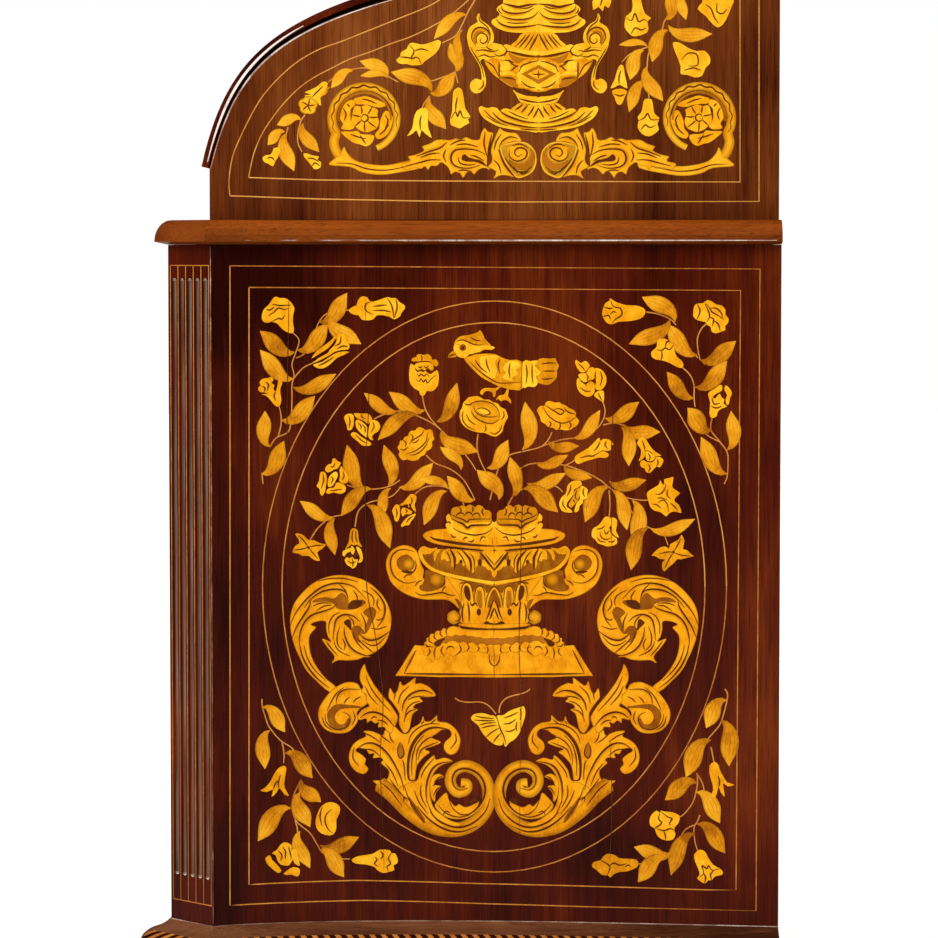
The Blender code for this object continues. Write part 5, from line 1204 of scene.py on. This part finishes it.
for x, y, way in ((RING_X, RING_Y, 1), (699, 118, -1)):
    turns = [math.radians(152 + 10.6 * k) for k in range(27)]
    spiral = [(x - way * 23, y + 40), (x - way * 28, y + 33), (x - way * 30.5, y + 24)]
    scroll(spiral + [(x + way * 32.5 * math.cos(a), y + 32 * math.sin(a)) for a in turns], 5.0, 3.2)
    scroll([(x + way * 26.3 * math.cos(a), y + 25.8 * math.sin(a)) for a in turns[2:21]], 2.0, 1.0, 0.1, "shade")
    line(*[(x + way * (31.6 + k % 2 * 1.6) * math.cos(a), y + (31.6 + k % 2 * 1.6) * math.sin(a))
           for k, a in enumerate(turns[:-5])], half=0.55)
    for petal in runs("""354,99 358,97.5 365,96 372,98 380,101 386,104.5 384,107 377,107.5 370,105.5 362,104.5 356,104
        / 339,111 343,104 349,100.5 354,100 355,105 351,109 350.5,114 351,120 355,125 353,129 347,130 341,128.5
        343,124 340,119/341,132 352,131.5 358,131 361,134 373,135 374,139 371,144 366,146.5 360,144.5 354,143
        348,139/380,121 384,112 388,111 392,115 393,121 391,128 388,134 383,138 377,139 375,134 379,129/355,106
        361,106.5 366,105 372,107 378,110 377.5,115 379,122 377,128 372,131 366,132.5 359,130 355,126 351.5,121
        352.5,113"""):
        outline("flower", [(x + way * (px - RING_X), y + py - RING_Y) for px, py in petal], -0.25)
    for curve in runs("""361,106.5 362,111 361.5,114/372,107 370,111 367.5,114.5/378.5,117 373,117.5 369,117 /
        376.5,128 371,124 367.5,121/365,132 364.5,127 364.5,122/355,126 359,122.5 361,120.5/352,115 357,116
        360.5,116.5/361,118 363,114.8 367,115.5 368,119 365,121.8 361.8,120.5 361,118/343,108 346,114 344,121 /
        347,104 350,107/362,99 369,100.5 377,104/350,134 358,137 366,139/360,135 363,140 366,144/385,115
        388,121 385,129/389,124 384,131 379,135"""):
        line(*[(x + way * (px - RING_X), y + py - RING_Y) for px, py in curve], half=0.5)
LEFT_TAIL = dots("""329,165 335,158 340,155 344,146 347,152 355,160 370,164 387,165 407,161 422,159 424,167 400,172.5
    380,175 362,172.5 350,167""")
outline("scroll", LEFT_TAIL, 0.1)
TAIL_MIDDLE = 531.5
outline("scroll", [(2 * TAIL_MIDDLE - x, y + 1) for x, y in LEFT_TAIL], 0.1)
line(*dots("336,163 352,164 368,169 388,170 412,165"))
line(*dots("727,164 711,165 695,170 675,171 651,166"))

UPPER_URN_MIDDLE = 538.5
for draw, cut, engrave, *_ in both_halves(UPPER_URN_MIDDLE):
    draw("flower", *dots("""539,-10 520,-9 504,-5 503,3 498.5,6 496.5,10 499.5,14 496.5,17.5 492,20 492,24 498,28.5
        508,32 522,33 539,33"""))
    draw("leaf", *dots("504,-3 520,-6 539,-8 539,3 528,5 518,6 509,5"), shade=-0.1)
    cut(*dots("503,3.5 511,5.5 518.5,7 528,5 539,4"), half=1.2)
    cut(*dots("501,6 503,10 508,12.5 516,13.5 526,12 534,8"), half=0.8)
    cut(*dots("500,15 507,18 516,19.5 526,19 533,16.5 538,12"), half=0.7)
    cut(*dots("496,19 501,24 510,27 521,27 530,26 539,24.5"), half=0.9)
    engrave(*runs("499,8 499,11 502,14/520,9 528,8 533,6/506,22 516,23.5 528,22.5"))
    draw("flower", *dots("539,33.5 522.5,33.5 517,40 510.5,46 520,50 530,51 539,51"), shade=-0.25)
    cut(*dots("530,34 525,41 519,48"), half=0.7)
    cut(*dots("538,34 534,42 529,50.5"), half=0.8)
    engrave(*runs("526,35 521,41 515,47/534,34 530,41 524,49"))
    draw("scroll", *dots("""484,60 493,58 503,57 508,51 520,54.5 539,57 539,92 528,90 515,88 508,85.5 499,79
        490,71.5"""), shade=-0.3)
    draw("shade", *dots("500,77 507,76.5 514,78 516,82.5 518,87 511,85.5 503,80.5"), shade=0.5)
    draw("shade", *dots("509,53 520,55.5 531,57.5 524,60 518,63.5 512,59.5"), shade=0.6)
    draw("flower", *dots("499.5,62 505,60.5 509.5,62 510,70 500,70.5 500.5,66"))
    draw("flower", *dots("499.5,72 508,71 515,73 516,76.5 508,75 499.5,75.5"))
    draw("flower", *dots("485,61 490,60 495,66 498.5,71 499,78.5 491,72"), shade=-0.3)
    draw("flower", *dots("503,46.5 506,44.3 511,45.5 520,49 530,50.5 539,51 539,55.3 528,55 516,53 507,51"))
    draw("flower", *dots("""470,48 478,46.5 487,46 492,43 497,43.5 501,44.5 505,47 507,51 504,56 508,60 498,59.5
        492,58.5 488,60.5 483,59 479,61 474,55"""))
    cut(*dots("507,51 516,53.5 528,56 539,57"), half=1.2)
    engrave(*runs("""503,46 506.5,50 504,54.5 498,56 494,53/475,51 483,50 492,51.5 499,50/486,46 489,49 493,50 /
        478,57 484,55 490,57 496,56/499,62 499,70 499.5,79/509,61.5 513,64.5 518,67/511,71 514,68 518,65 /
        503,60 510,61 514,63/485,61 493,66 499,77/502,78 509,78 516,80"""), half=0.5)
    draw("flower", *dots("""479,13 476.5,18 477.5,22 470,27 467,35 468,43 470,50 475,58 479.5,66 481.5,75 481,80
        476,78.5 471,82 470,88 474,93 480,92.5 485,87 486,80 484,70 480,60 484,52 491,46 494,38 492,30 487,24
        481,20"""))
    draw("shade", *dots("472,38 473.5,32 478,29 484,29.3 488,33 484,32.3 479,33.5 476.5,38 476,44.5"), shade=0.4)
    cut(*dots("476,46 471.5,38 474,30 481,27.3 488,31 490,38 487,45"), half=0.7)
    engrave(dots("477,44 476.5,37 481,33 486.5,35.5 487,41 483,43.5 480,41 481.5,38"), half=0.5)
    engrave(*runs("470,47 476,57 481,66 484,78/483,80 483,86 478,90/479,16 480,21 487,27 491,35"))
    draw("ink", *dots("513,87 519,88.5 525,89 531,91.5 539,92.5 539,96.5 530,95 522,92.5 515,89.5"))
    draw("flower", *dots("513,90 517,92.5 526,95.7 539,97.3 539,105.5 530,104.5 522,103 519,100.5 516,95"))
    engrave(dots("519,98.5 529,101.3 539,102.5"), half=0.6)
    draw("flower", *dots("520,103 530,105 539,106 539,119 527,116.5 519,113 511,109.5 515,106"), shade=-0.2)
    engrave(*runs("""527.5,105 524.5,109 521,112.5/534,106 531.5,111 527.5,116/538.5,108 536,113 533,118/523,104
        519,107.5 515,110"""), half=0.6)
    draw("flower", *dots("""478.5,109.5 481,106 487,108 492,107 497,108 499.7,111 503,108.7 508,108.7 519,113
        527,116.5 539,119 539,132 526,131 512,129.5 500,127 490,122.5 482.5,117"""))
    cut(*dots("499.5,110.5 505,114.5 513,118 525,121.7 539,123"), half=0.9)
    cut(*dots("492,112 500,119.5 510,123.5 525,126.7 539,128"), half=0.9)
    engrave(*runs("""484,110 491,117 500,122.5/508,111 518,116 528,119/486,116 496,122 508,126/520,129 530,129.7
        539,130"""))
    draw("scroll", *dots("""401,163.5 410,161 408,156.5 416,154.5 424,150.5 422,146.5 430,143.5 436,140 443,139.5
        450,140 456,138.3 461,139.5 466,137 472,139.5 479,139.5 481,133.5 484.5,127.8 488,131.5 493.5,133.5 490.5,144
        488,153 487,166 490,169 483,168 478,170.5 474,174.5 471,171.5 467,172.5 463,178 460,173.5 455,172 451,174.5
        449,169 446,165.5 441,162.5 437,166 431,166 428,170 425,166.5 421,169 416,167.5 405,170"""))
    draw("ink", *dots("462,156 465,154.3 468,157 474,159 481,160.5 487,166.5 480,163.5 474,161.7 467,161.5 462,160"))
    cut(*dots("486,155 477,150.5 465,149 455,150.5 451,157 453,164 460,167.5 470,168 480,165"), half=0.8)
    cut(*dots("447,142 440,148 428,152 416,156.5"), half=0.7)
    engrave(*runs("""446,149 443.5,156 446,162/441,160 430,160 418,163 406,166/420,158 430,154 440,153/485,132
        484,144 487,157/492,134 489,146 487.5,158/456,145 466,144 478,147/450,145 458,141 466,140/458,171
        463,170 470,171/458,157 460,163 468,165 476,164/470,155 477,157 484,161"""), half=0.5)
    draw("leaf", *dots("""500,146 508,143 518,141.5 527,143 533,148 536,154 536.5,163 532.5,172 524,177 516,177.5
        508,168 502,157"""), shade=0.3)
    draw("scroll", *dots("""492,158 491,150 494,140 498,131 499.5,128 504,131 510,132.5 516,133 520,137.5 521,141.5
        513,141.5 506,143.5 500,147 500,153 504,162 509,170 514,177 507,175.5 500,175.5 493.5,178.5 496,171.5 488,167
        491,163"""))
    draw("shade", *dots("""530,147.5 534.5,153 534.5,161 531,167 523,170 514,167.5 509,160 515,163 522,164 528,160
        531,154"""), shade=0.3)
    draw("flower", *dots("""508,147.5 516,145 523,145.5 528,150 529.5,155 526,160 520,162 513,160 508.5,154"""),
        shade=-0.35)
    engrave(dots("509,149 510,157 517,161 525,158 527,152 523,148 517,148.5 514.5,153 518,156.5 522,154"), half=0.6)
    cut(*dots("498.5,150 504,163 510,171.5 515,177.5"), half=1.0)
    cut(*dots("499,147 503,140.5 510,136.8 518,138.5"), half=0.7)
    engrave(*runs("""513,166.5 518,171.5 525,171.5 532,167/505,158 511,166 518,173/494,160 499,166 501,174 /
        494,150 496,142 501,134/512,146 520,144 528,148/519,172 523,174 529,171"""), half=0.5)
outline("flower", dots("""533,59.5 530,62 525,62 523,65.5 518.5,67.5 518.5,71.5 515.5,75 518,79 518,83 523,84.5
    526,88.5 531,87.5 534.5,91 538.5,89.5 542.5,91 546,87.5 551,88.5 554,84.5 559,83 559,79 561.5,75 558.5,71.5
    558.5,67.5 554,65.5 552,62 547,62 544,59.5 538.5,61"""))
outline("shade", dots("521,74 530,69.5 538.5,65 547,69.5 556,74 547,79 538.5,84 530,79"), 0.2, 1)
outline("burn", dots("526.5,74 538.5,68 550.5,74 538.5,80.5"), 0.4, 1)
for curve in runs("""519,72 522,66 530,62.5 538,61/521,81 527,86 536,88/556,81 550,86 541,88/558,72 555,66
    547,62.5 540,61/532,74 538.5,74.5 545,74/538.5,70 538.7,74.5 538.5,79"""):
    line(*curve, half=0.5)

end_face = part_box("desk_side_right")[1].x
for word, sign in (("left", -1), ("right", 1)):
    lay(f"upper_inlay_{word}", lambda x, y: on_side(x, y, lambda depth: end_face),
        lambda y, z, h: Vector((sign * (end_face + h), y, z)), "case")

# Edges of the desk: a painted highlight on the arris of each ogee side and on the inner arris of the
# fall's lips, which show as pale lines.


def painted_edge_highlight(places, middle, half, shade):
    """A pale strip beside an edge, a painted highlight, fading out at both of its ends."""
    last = len(places) - 1
    widths = [half * math.sin(math.pi * min(max(k / last, 0.02), 0.98)) ** 0.5 for k in range(last + 1)]
    sheets["wear_and_highlight"].strip([(p, middle) for p in places], widths, shade)


new_sheets(41)
# Painted highlight on the arris of each ogee side.
painted_edge_highlight([k / 60 for k in range(61)], -1.0, 0.8, 0.25)
for word, sign in (("left", -1), ("right", 1)):
    def on_arris(share, offset, height):
        place, _ = ogee(share, offset / 1000)
        return Vector((sign * (desk_high.x + height), place.x, place.y))

    lay(f"desk_arris_{word}", lambda x, y: (x, y), on_arris, "case")
new_sheets(43)
# Painted highlight on the inner arris of the fall's lips.
painted_edge_highlight([0.02 + 0.7 * k / 60 for k in range(61)], 3.2, 1.2, 0.8)
for word, sign in (("left", -1), ("right", 1)):
    def on_lip(share, offset, height):
        place, _ = ogee(share, offset / 1000 + FACE_FLARE * share)
        return Vector((sign * (fall_end + height), place.x, place.y))

    lay(f"lip_arris_{word}", lambda x, y: (x, y), on_lip, "fall")

# Board between the cases: solid mahogany with a quarter-round edge, cut cross-grained at the canted corners.
# Painted shade darkens it towards the nose and on the canted corners; its arris has a painted highlight.


def board_wood(name):
    """The moulding's mahogany, with painted shade where the edge turns down and at the mitred corners, partly for cross
    grain.
    """
    material = wood(name, ("#54200A", "#8E420F", "#A8561A"), "Y", 0.3, 0.1, 16.0, 0.4)
    tree = material.node_tree
    socket = tree.nodes["Principled BSDF"].inputs["Base Color"]
    colour = socket.links[0].from_socket
    _, backward, upward = node(tree, "SeparateXYZ", [node(tree, "NewGeometry", output="Normal")]).node.outputs
    painted_shade_below = node(tree, "MapRange", (upward, 0.05, 0.6, 0.45, 0.0))
    painted_shade_at_mitre = node(tree, "MapRange", (backward, -0.3, -0.4, 0.0, 0.35))
    dark = node(tree, "Math", (painted_shade_below, painted_shade_at_mitre), operation="MAXIMUM")
    # Mixes in dark brown as painted shade.
    tree.links.new(node(tree, "Mix", {0: dark, 6: colour, 7: linear("#2A0A04")}, 2, data_type="RGBA"), socket)
    return material


board_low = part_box("base_top")[0]
BOARD_OFFSET = 0.0125
BOARD_NOSE = 0.0025
paint(board_wood("solid mahogany, moulded"), "base_top")

# Plinth: a solid mahogany frame that follows the hollow sides and canted corners and is set back
# between the posts. Its edge is a cyma slope with a slanting chequer of boxwood and ebony let in.

post_low, post_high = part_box("corner_post_right")
drawer_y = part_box("drawer_top_front")[0].y
CANT = post_high.y - post_low.y
TAN_HALF = math.tan(math.radians(22.5))
plinth_low, plinth_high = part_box("plinth")
PLINTH_OFFSET, PLINTH_FOOT_OFFSET, PLINTH_CHAMFER = 0.028, 0.020, 0.005
HOLE_REACH, HOLE_MARGIN = 0.45, 0.08
# Greyish brown: the waxed wood's own tone with a painted sheen mixed in.
plinth_wood = wood("waxed mahogany moulding, greyed by a painted sheen", ("#421F10", "#744328", "#8E5C3C"), "Y", 0.4, 0.05)
SLOPE = 0.017


def plan(offset, run, share):
    """(x, y) on the right half of the plinth: run 0 is the hollow side, 1 the cant, 2 the front between the posts."""
    side_corner = Vector((post_high.x + offset, post_high.y - TAN_HALF * offset))
    front_corner = Vector((post_high.x - CANT + TAN_HALF * offset, post_low.y - offset))
    if run == 0:
        drop = SIDE_HOLLOW * math.sin(math.pi * share ** HOLLOW_SKEW)
        return Vector((side_corner.x - drop, side_corner.y + share * (side_high.y - side_corner.y)))
    if run == 1:
        return side_corner.lerp(front_corner, share)
    return Vector((post_low.x * (1 - share), drawer_y - offset))


def cyma(share):
    """(offset, height) up the plinth's slope."""
    rise = share + math.sin(2 * math.pi * share) / (4 * math.pi)
    return PLINTH_OFFSET * (1 - share), plinth_high.z - SLOPE + rise * SLOPE


def plinth_ring(mesh, offset, z, hole=False):
    half = [plan(offset, 0, 1 - k / SIDE_STEPS) for k in range(SIDE_STEPS + 1)] + [plan(offset, 1, 1)]
    half += [Vector((post_low.x, post_low.y - offset)), plan(offset, 2, 0)]
    if hole:
        near, far = drawer_y + HOLE_MARGIN, side_high.y - HOLE_MARGIN
        half = [Vector((min(p.x, HOLE_REACH), min(max(p.y, near), far))) for p in half]
    return [mesh.verts.new((p.x, p.y, z)) for p in half + [Vector((-p.x, p.y)) for p in reversed(half)]]


plinth_mesh = bmesh.new()
rings = [plinth_ring(plinth_mesh, 0.0, plinth_low.z, True), plinth_ring(plinth_mesh, PLINTH_FOOT_OFFSET, plinth_low.z)]
rings += [plinth_ring(plinth_mesh, PLINTH_OFFSET, plinth_low.z + PLINTH_CHAMFER)]
rings += [plinth_ring(plinth_mesh, *cyma(k / 14)) for k in range(15)]
rings += [plinth_ring(plinth_mesh, 0.0, plinth_high.z, True)]
for lower, upper in zip(rings, rings[1:] + rings[:1]):
    for k in range(len(lower)):
        follows = (k + 1) % len(lower)
        plinth_mesh.faces.new((lower[k], lower[follows], upper[follows], upper[k]))
bmesh.ops.remove_doubles(plinth_mesh, verts=plinth_mesh.verts, dist=1e-6)
plinth_piece = finished("moulded_plinth", plinth_mesh, plinth_wood, "case")
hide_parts("plinth")

CHEQUER = (0.01, 0.35)
CHEQUER_ROWS = 5
CHEQUER_LEAN = 0.8
CHEQUER_PITCH = 0.0105
RUN_LENGTHS = (0.527, 0.061, 0.478)
new_sheets(31)
for run, length in enumerate(RUN_LENGTHS):
    tiles = round(length / CHEQUER_PITCH)
    for k, row in itertools.product(range(tiles + 1), range(CHEQUER_ROWS)):
        low, high = [CHEQUER[0] + (CHEQUER[1] - CHEQUER[0]) * r / CHEQUER_ROWS for r in (row, row + 1)]
        for kind, first, last, shade in (("string", 0.03, 0.47, -0.45), ("ebony", 0.5, 1.0, -0.2)):
            first, last = [k + x - CHEQUER_LEAN * row / CHEQUER_ROWS for x in (first, last)]
            lean = CHEQUER_LEAN / CHEQUER_ROWS
            first, last = max(first, lean), min(last, tiles)
            if last - first > 0.1:
                corners = [(first, low), (last, low), (last - lean, high), (first - lean, high)]
                sheets[kind].shape([(run * 10 + x / tiles, y) for x, y in corners], shade)
    top_edge = [(run * 10 + k / SIDE_STEPS, 0.985) for k in range(SIDE_STEPS + 1)]
    sheets["wear_and_highlight"].strip(top_edge, [0.014] * len(top_edge), -0.1)


def on_slope(place, share, height):
    run = min(int(place / 10 + 0.01), 2)
    along = min(max(place - run * 10, 0.0), 1.0)
    offset, z = cyma(share)
    point = plan(offset, run, along)
    return Vector((sign * (point.x + height * 0.5), point.y, z + height * 0.9))


for word, sign in (("left", -1), ("right", 1)):
    lay(f"plinth_line_{word}", lambda x, y: (x, y), on_slope, "case")

# Painted highlight along the board's nose.
new_sheets(33)
painted_edge_highlight([0.02 + 0.97 * k / SIDE_STEPS for k in range(SIDE_STEPS + 1)], 1.2, 0.7, 0.1)
for word, sign in (("left", -1), ("right", 1)):
    def on_nose(place, rise, height):
        point = plan(BOARD_OFFSET + height, 0, place)
        return Vector((sign * point.x, point.y, board_low.z + BOARD_NOSE + rise / 1000))

    lay(f"board_arris_{word}", lambda x, y: (x, y), on_nose, "case")

# Corner posts: mahogany, canted and fluted, with a boxwood string on each ridge between the flutes and one
# across at the head and the foot. The hollows hold a grey bloom of dust with a painted sheen, a painted glint
# lies at their ends, and a pale line runs along the arris beside the side.


def fluted_wood(name, middle):
    """Mahogany with dust and a painted sheen that grow with depth below the cant's face, and painted glints at flute
    ends.
    """
    material = wood(name, MAHOGANY, "Z", 0.34, 0.06)
    tree = material.node_tree
    socket = tree.nodes["Principled BSDF"].inputs["Base Color"]
    colour = socket.links[0].from_socket
    place = node(tree, "TexCoord", output="Object")
    x, y, _ = node(tree, "SeparateXYZ", [place]).node.outputs
    out = node(tree, "Math", [x], operation="ABSOLUTE")
    out = node(tree, "Math", (out, y), operation="SUBTRACT")
    depth = node(tree, "Math", (middle.x - middle.y, out), operation="SUBTRACT")
    moved = node(tree, "Mapping", {"Vector": place, "Scale": (1.0, 1.0, 0.03)})
    streak = node(tree, "TexNoise", {"Vector": moved, "Scale": 1000 / 2.4, "Detail": 3.0})
    streak = node(tree, "MapRange", (streak, 0.35, 0.65, 0.12, 0.5))
    # A grey bloom, partly dust and partly painted sheen, paler the deeper the flute.
    hollow = node(tree, "MapRange", (depth, 0.0012, 0.0032))
    grey = node(tree, "Math", (hollow, streak), operation="MULTIPLY")
    colour = node(tree, "Mix", {0: grey, 6: colour, 7: linear("#A08C78")}, 2, data_type="RGBA")
    # Painted glint where the flute ends turn up or down.
    upward = node(tree, "SeparateXYZ", [node(tree, "NewGeometry", output="Normal")], 2)
    upward = node(tree, "Math", [upward], operation="ABSOLUTE")
    painted_end_glint = node(tree, "MapRange", (upward, 0.3, 0.8, 0.0, 0.75))
    inside = node(tree, "MapRange", (depth, 0.0004, 0.0010))
    inside = node(tree, "Math", (painted_end_glint, inside), operation="MULTIPLY")
    tree.links.new(node(tree, "Mix", {0: inside, 6: colour, 7: linear("#E6DCC8")}, 2, data_type="RGBA"), socket)
    return material


RIDGE_PITCH = 10.9
STRING_FOOT, STRING_HEAD, STRING_REACH = 93.5, 690.5, 27.8
new_sheets(37)
for k in range(6):
    shift = (k - 2.5) * RIDGE_PITCH
    string((shift, STRING_FOOT + 0.5), (shift, STRING_HEAD - 0.5), half=0.42, shade=-0.35)
for z in (STRING_HEAD, STRING_FOOT):
    string((-STRING_REACH, z), (STRING_REACH, z), half=0.42, shade=-0.35)
# A pale line on the arris beside the side.
arris = 1000 * CANT * math.sqrt(0.5) - 0.6
heights = [1000 * (post_low.z + 0.002 + (post_high.z - post_low.z - 0.004) * k / 90) for k in range(91)]
wear = [0.4 + 0.15 * math.sin(0.9 * k) + 0.1 * math.sin(2.3 * k) for k in range(91)]
sheets["wear_and_highlight"].strip([(arris, z) for z in heights], wear, -0.3)
cant_middle = Vector((post_high.x - CANT / 2, post_low.y + CANT / 2, 0.0))
paint(fluted_wood("mahogany, fluted", cant_middle), "corner_post_left", "corner_post_right")
for word, sign in (("left", -1), ("right", 1)):
    def on_cant(along, z, height):
        root = math.sqrt(0.5)
        place = cant_middle + Vector((root, root, 0)) * along + Vector((root, -root, 0)) * height
        return Vector((sign * place.x, place.y, z))

    lay(f"post_strings_{word}", lambda x, y: (x / 1000, y / 1000), on_cant, "case")

# Drawer fronts: mahogany veneer with two strings round each and sprays that start from a rose in the middle
# and from both ends, clear of the handles.

FRONT_REACH = 466
for seed, word in enumerate(("top", "middle", "bottom")):
    front_low, front_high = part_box(f"drawer_{word}_front")
    centre_z = (front_low.z + front_high.z) / 2
    high = (front_high.z - front_low.z) * 500 - 10
    new_sheets(51 + seed)
    for inset in (0, 7):
        edge, end = high - inset, FRONT_REACH - inset
        string((-end, -edge), (end, -edge), (end, edge), (-end, edge), closed=True)
    rose(0, 0, 21, 19)
    for way in (1, -1):
        spray(way * 25, 10, way * 1.02, 0.75)
        spray(way * 452, 14, -way * 0.56, 0.62)

    def on_front(x, z, height):
        return Vector((x, front_low.y - height, z))

    lay(f"drawer_inlay_{word}", lambda x, y: (x / 1000, centre_z - y / 1000), on_front, f"drawer_{word}")

# Brass: cast handle plates, swinging bails and butt hinges, clouded from bright brass to dull brown.


def brass_metal(name):
    """Brass with cloudy spots of about 5 mm."""
    material, tree, sockets = new_material(name, 0.3, 0.0, 1.0)
    place = node(tree, "TexCoord", output="Object")
    cloud = node(tree, "TexNoise", {"Vector": place, "Scale": 1000 / 5.0, "Detail": 5.0})
    colour = node(tree, "ValToRGB", [cloud], stops=((0.25, "#7A5420"), (0.5, "#A87E32"), (0.75, "#C89E4A")))
    tree.links.new(colour, sockets["Base Color"])
    tree.links.new(node(tree, "MapRange", (cloud, 0.3, 0.7, 0.42, 0.26)), sockets["Roughness"])
    return material


brass = brass_metal("cast brass, lacquer thinned by use")
for word in ("top", "middle", "bottom"):
    for side in ("left", "right"):
        paint(brass, f"handle_plate_{word}_{side}", f"handle_bail_{word}_{side}")
for side in ("left", "right"):
    paint(brass, f"hinge_{side}_bed_leaf", f"hinge_{side}_fall_leaf", f"hinge_{side}_pin")

# Writing surface: dyed sheepskin let into the fall's panel, with a fine pebble and scuffs and a double line
# tooled in gold leaf.


def hide(name):
    """Leather with scuffs of about 60 mm and a pebble of 1.1 mm."""
    material, tree, sockets = new_material(name, 0.5)
    place = node(tree, "TexCoord", output="Object")
    cloud = node(tree, "TexNoise", {"Vector": place, "Scale": 1000 / 60.0, "Detail": 4.0})
    pebble = node(tree, "TexNoise", {"Vector": place, "Scale": 1000 / 1.1, "Detail": 2.0})
    colour = node(tree, "ValToRGB", [cloud], stops=((0.3, "#23301C"), (0.55, "#34452A"), (0.75, "#46553A")))
    tree.links.new(colour, sockets["Base Color"])
    relief = node(tree, "Bump", {"Strength": 0.25, "Distance": 0.0004, "Height": pebble})
    tree.links.new(relief, sockets["Normal"])
    return material


paint(hide("green sheepskin"), "writing_leather")
leather_low, leather_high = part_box("writing_leather")
PANEL_SLOPE = math.radians(34.56)
ALONG = Vector((0.0, math.cos(PANEL_SLOPE), math.sin(PANEL_SLOPE)))
INWARD = Vector((0.0, math.sin(PANEL_SLOPE), -math.cos(PANEL_SLOPE)))
LEATHER_THICKNESS = 0.0012
leather_foot = Vector((0.0, leather_low.y + LEATHER_THICKNESS * INWARD.y, leather_low.z))
LEATHER_LENGTH = (leather_high.y - leather_foot.y) / ALONG.y


def on_leather(x, along, height):
    return leather_foot + ALONG * along + INWARD * height + Vector((x, 0.0, 0.0))


new_sheets(61)
for inset, half in ((9, 0.9), (12.5, 0.4)):
    end, near, far = leather_high.x * 1000 - inset, inset, LEATHER_LENGTH * 1000 - inset
    path = [(-end, near), (end, near), (end, far), (-end, far), (-end, near)]
    sheets["gilt"].strip(path, [half] * 5)
lay("leather_line", lambda x, y: (x / 1000, y / 1000), on_leather, "fall")

# Floor, light and camera: a pale studio floor that runs into a white ground, one large soft lamp above
# the camera's left and an even sky.


def ground(size):
    mesh = bmesh.new()
    corners = [mesh.verts.new((x * size, y * size, 0.0)) for x, y in ((-1, -1), (1, -1), (1, 1), (-1, 1))]
    mesh.faces.new(corners)
    data = bpy.data.meshes.new("floor")
    mesh.to_mesh(data)
    mesh.free()
    material, tree, sockets = new_material("pale studio floor", 0.8)
    sockets["Base Color"].default_value = linear("#F4F2F0")
    sockets["Emission Color"].default_value = linear("#FFFFFF")
    rays = node(tree, "LightPath").node.outputs
    seen = node(tree, "Math", (rays["Is Camera Ray"], rays["Is Transmission Ray"]), operation="MAXIMUM")
    tree.links.new(node(tree, "Math", (seen, 0.75), operation="MULTIPLY"), sockets["Emission Strength"])
    data.materials.append(material)
    piece = bpy.data.objects.new("floor", data)
    bpy.context.scene.collection.objects.link(piece)


ground(12.0)
world = bpy.data.worlds.new("studio")
bpy.context.scene.world = world
world.use_nodes = True
sky = world.node_tree
rays = node(sky, "LightPath").node.outputs
shown = node(sky, "Math", (rays["Is Camera Ray"], rays["Is Transmission Ray"]), operation="MAXIMUM")
strength = node(sky, "Math", (shown, 0.45, 0.55), operation="MULTIPLY_ADD")
dim = node(sky, "MapRange", (rays["Is Glossy Ray"], 0.0, 1.0, 1.0, 0.06))
background = sky.nodes["Background"]
background.inputs["Color"].default_value = (1.0, 1.0, 1.0, 1.0)
sky.links.new(node(sky, "Math", (strength, dim), operation="MULTIPLY"), background.inputs["Strength"])

lamp = bpy.data.objects.new("soft box", bpy.data.lights.new("soft box", "AREA"))
lamp.data.size = 2.4
lamp.data.energy = 155.0
lamp.location = (3.2, -2.4, 3.2)
lamp.rotation_euler = (Vector((0, 0, 0.5)) - lamp.location).to_track_quat("-Z", "Y").to_euler()
bpy.context.scene.collection.objects.link(lamp)

camera = bpy.data.objects.new("camera", bpy.data.cameras.new("camera"))
camera.location = EYE
camera.rotation_euler = (math.radians(90) - TILT, 0, math.radians(90))
camera.data.lens = 138.6
bpy.context.scene.collection.objects.link(camera)
bpy.context.scene.camera = camera
bpy.context.scene.view_settings.view_transform = "Standard"
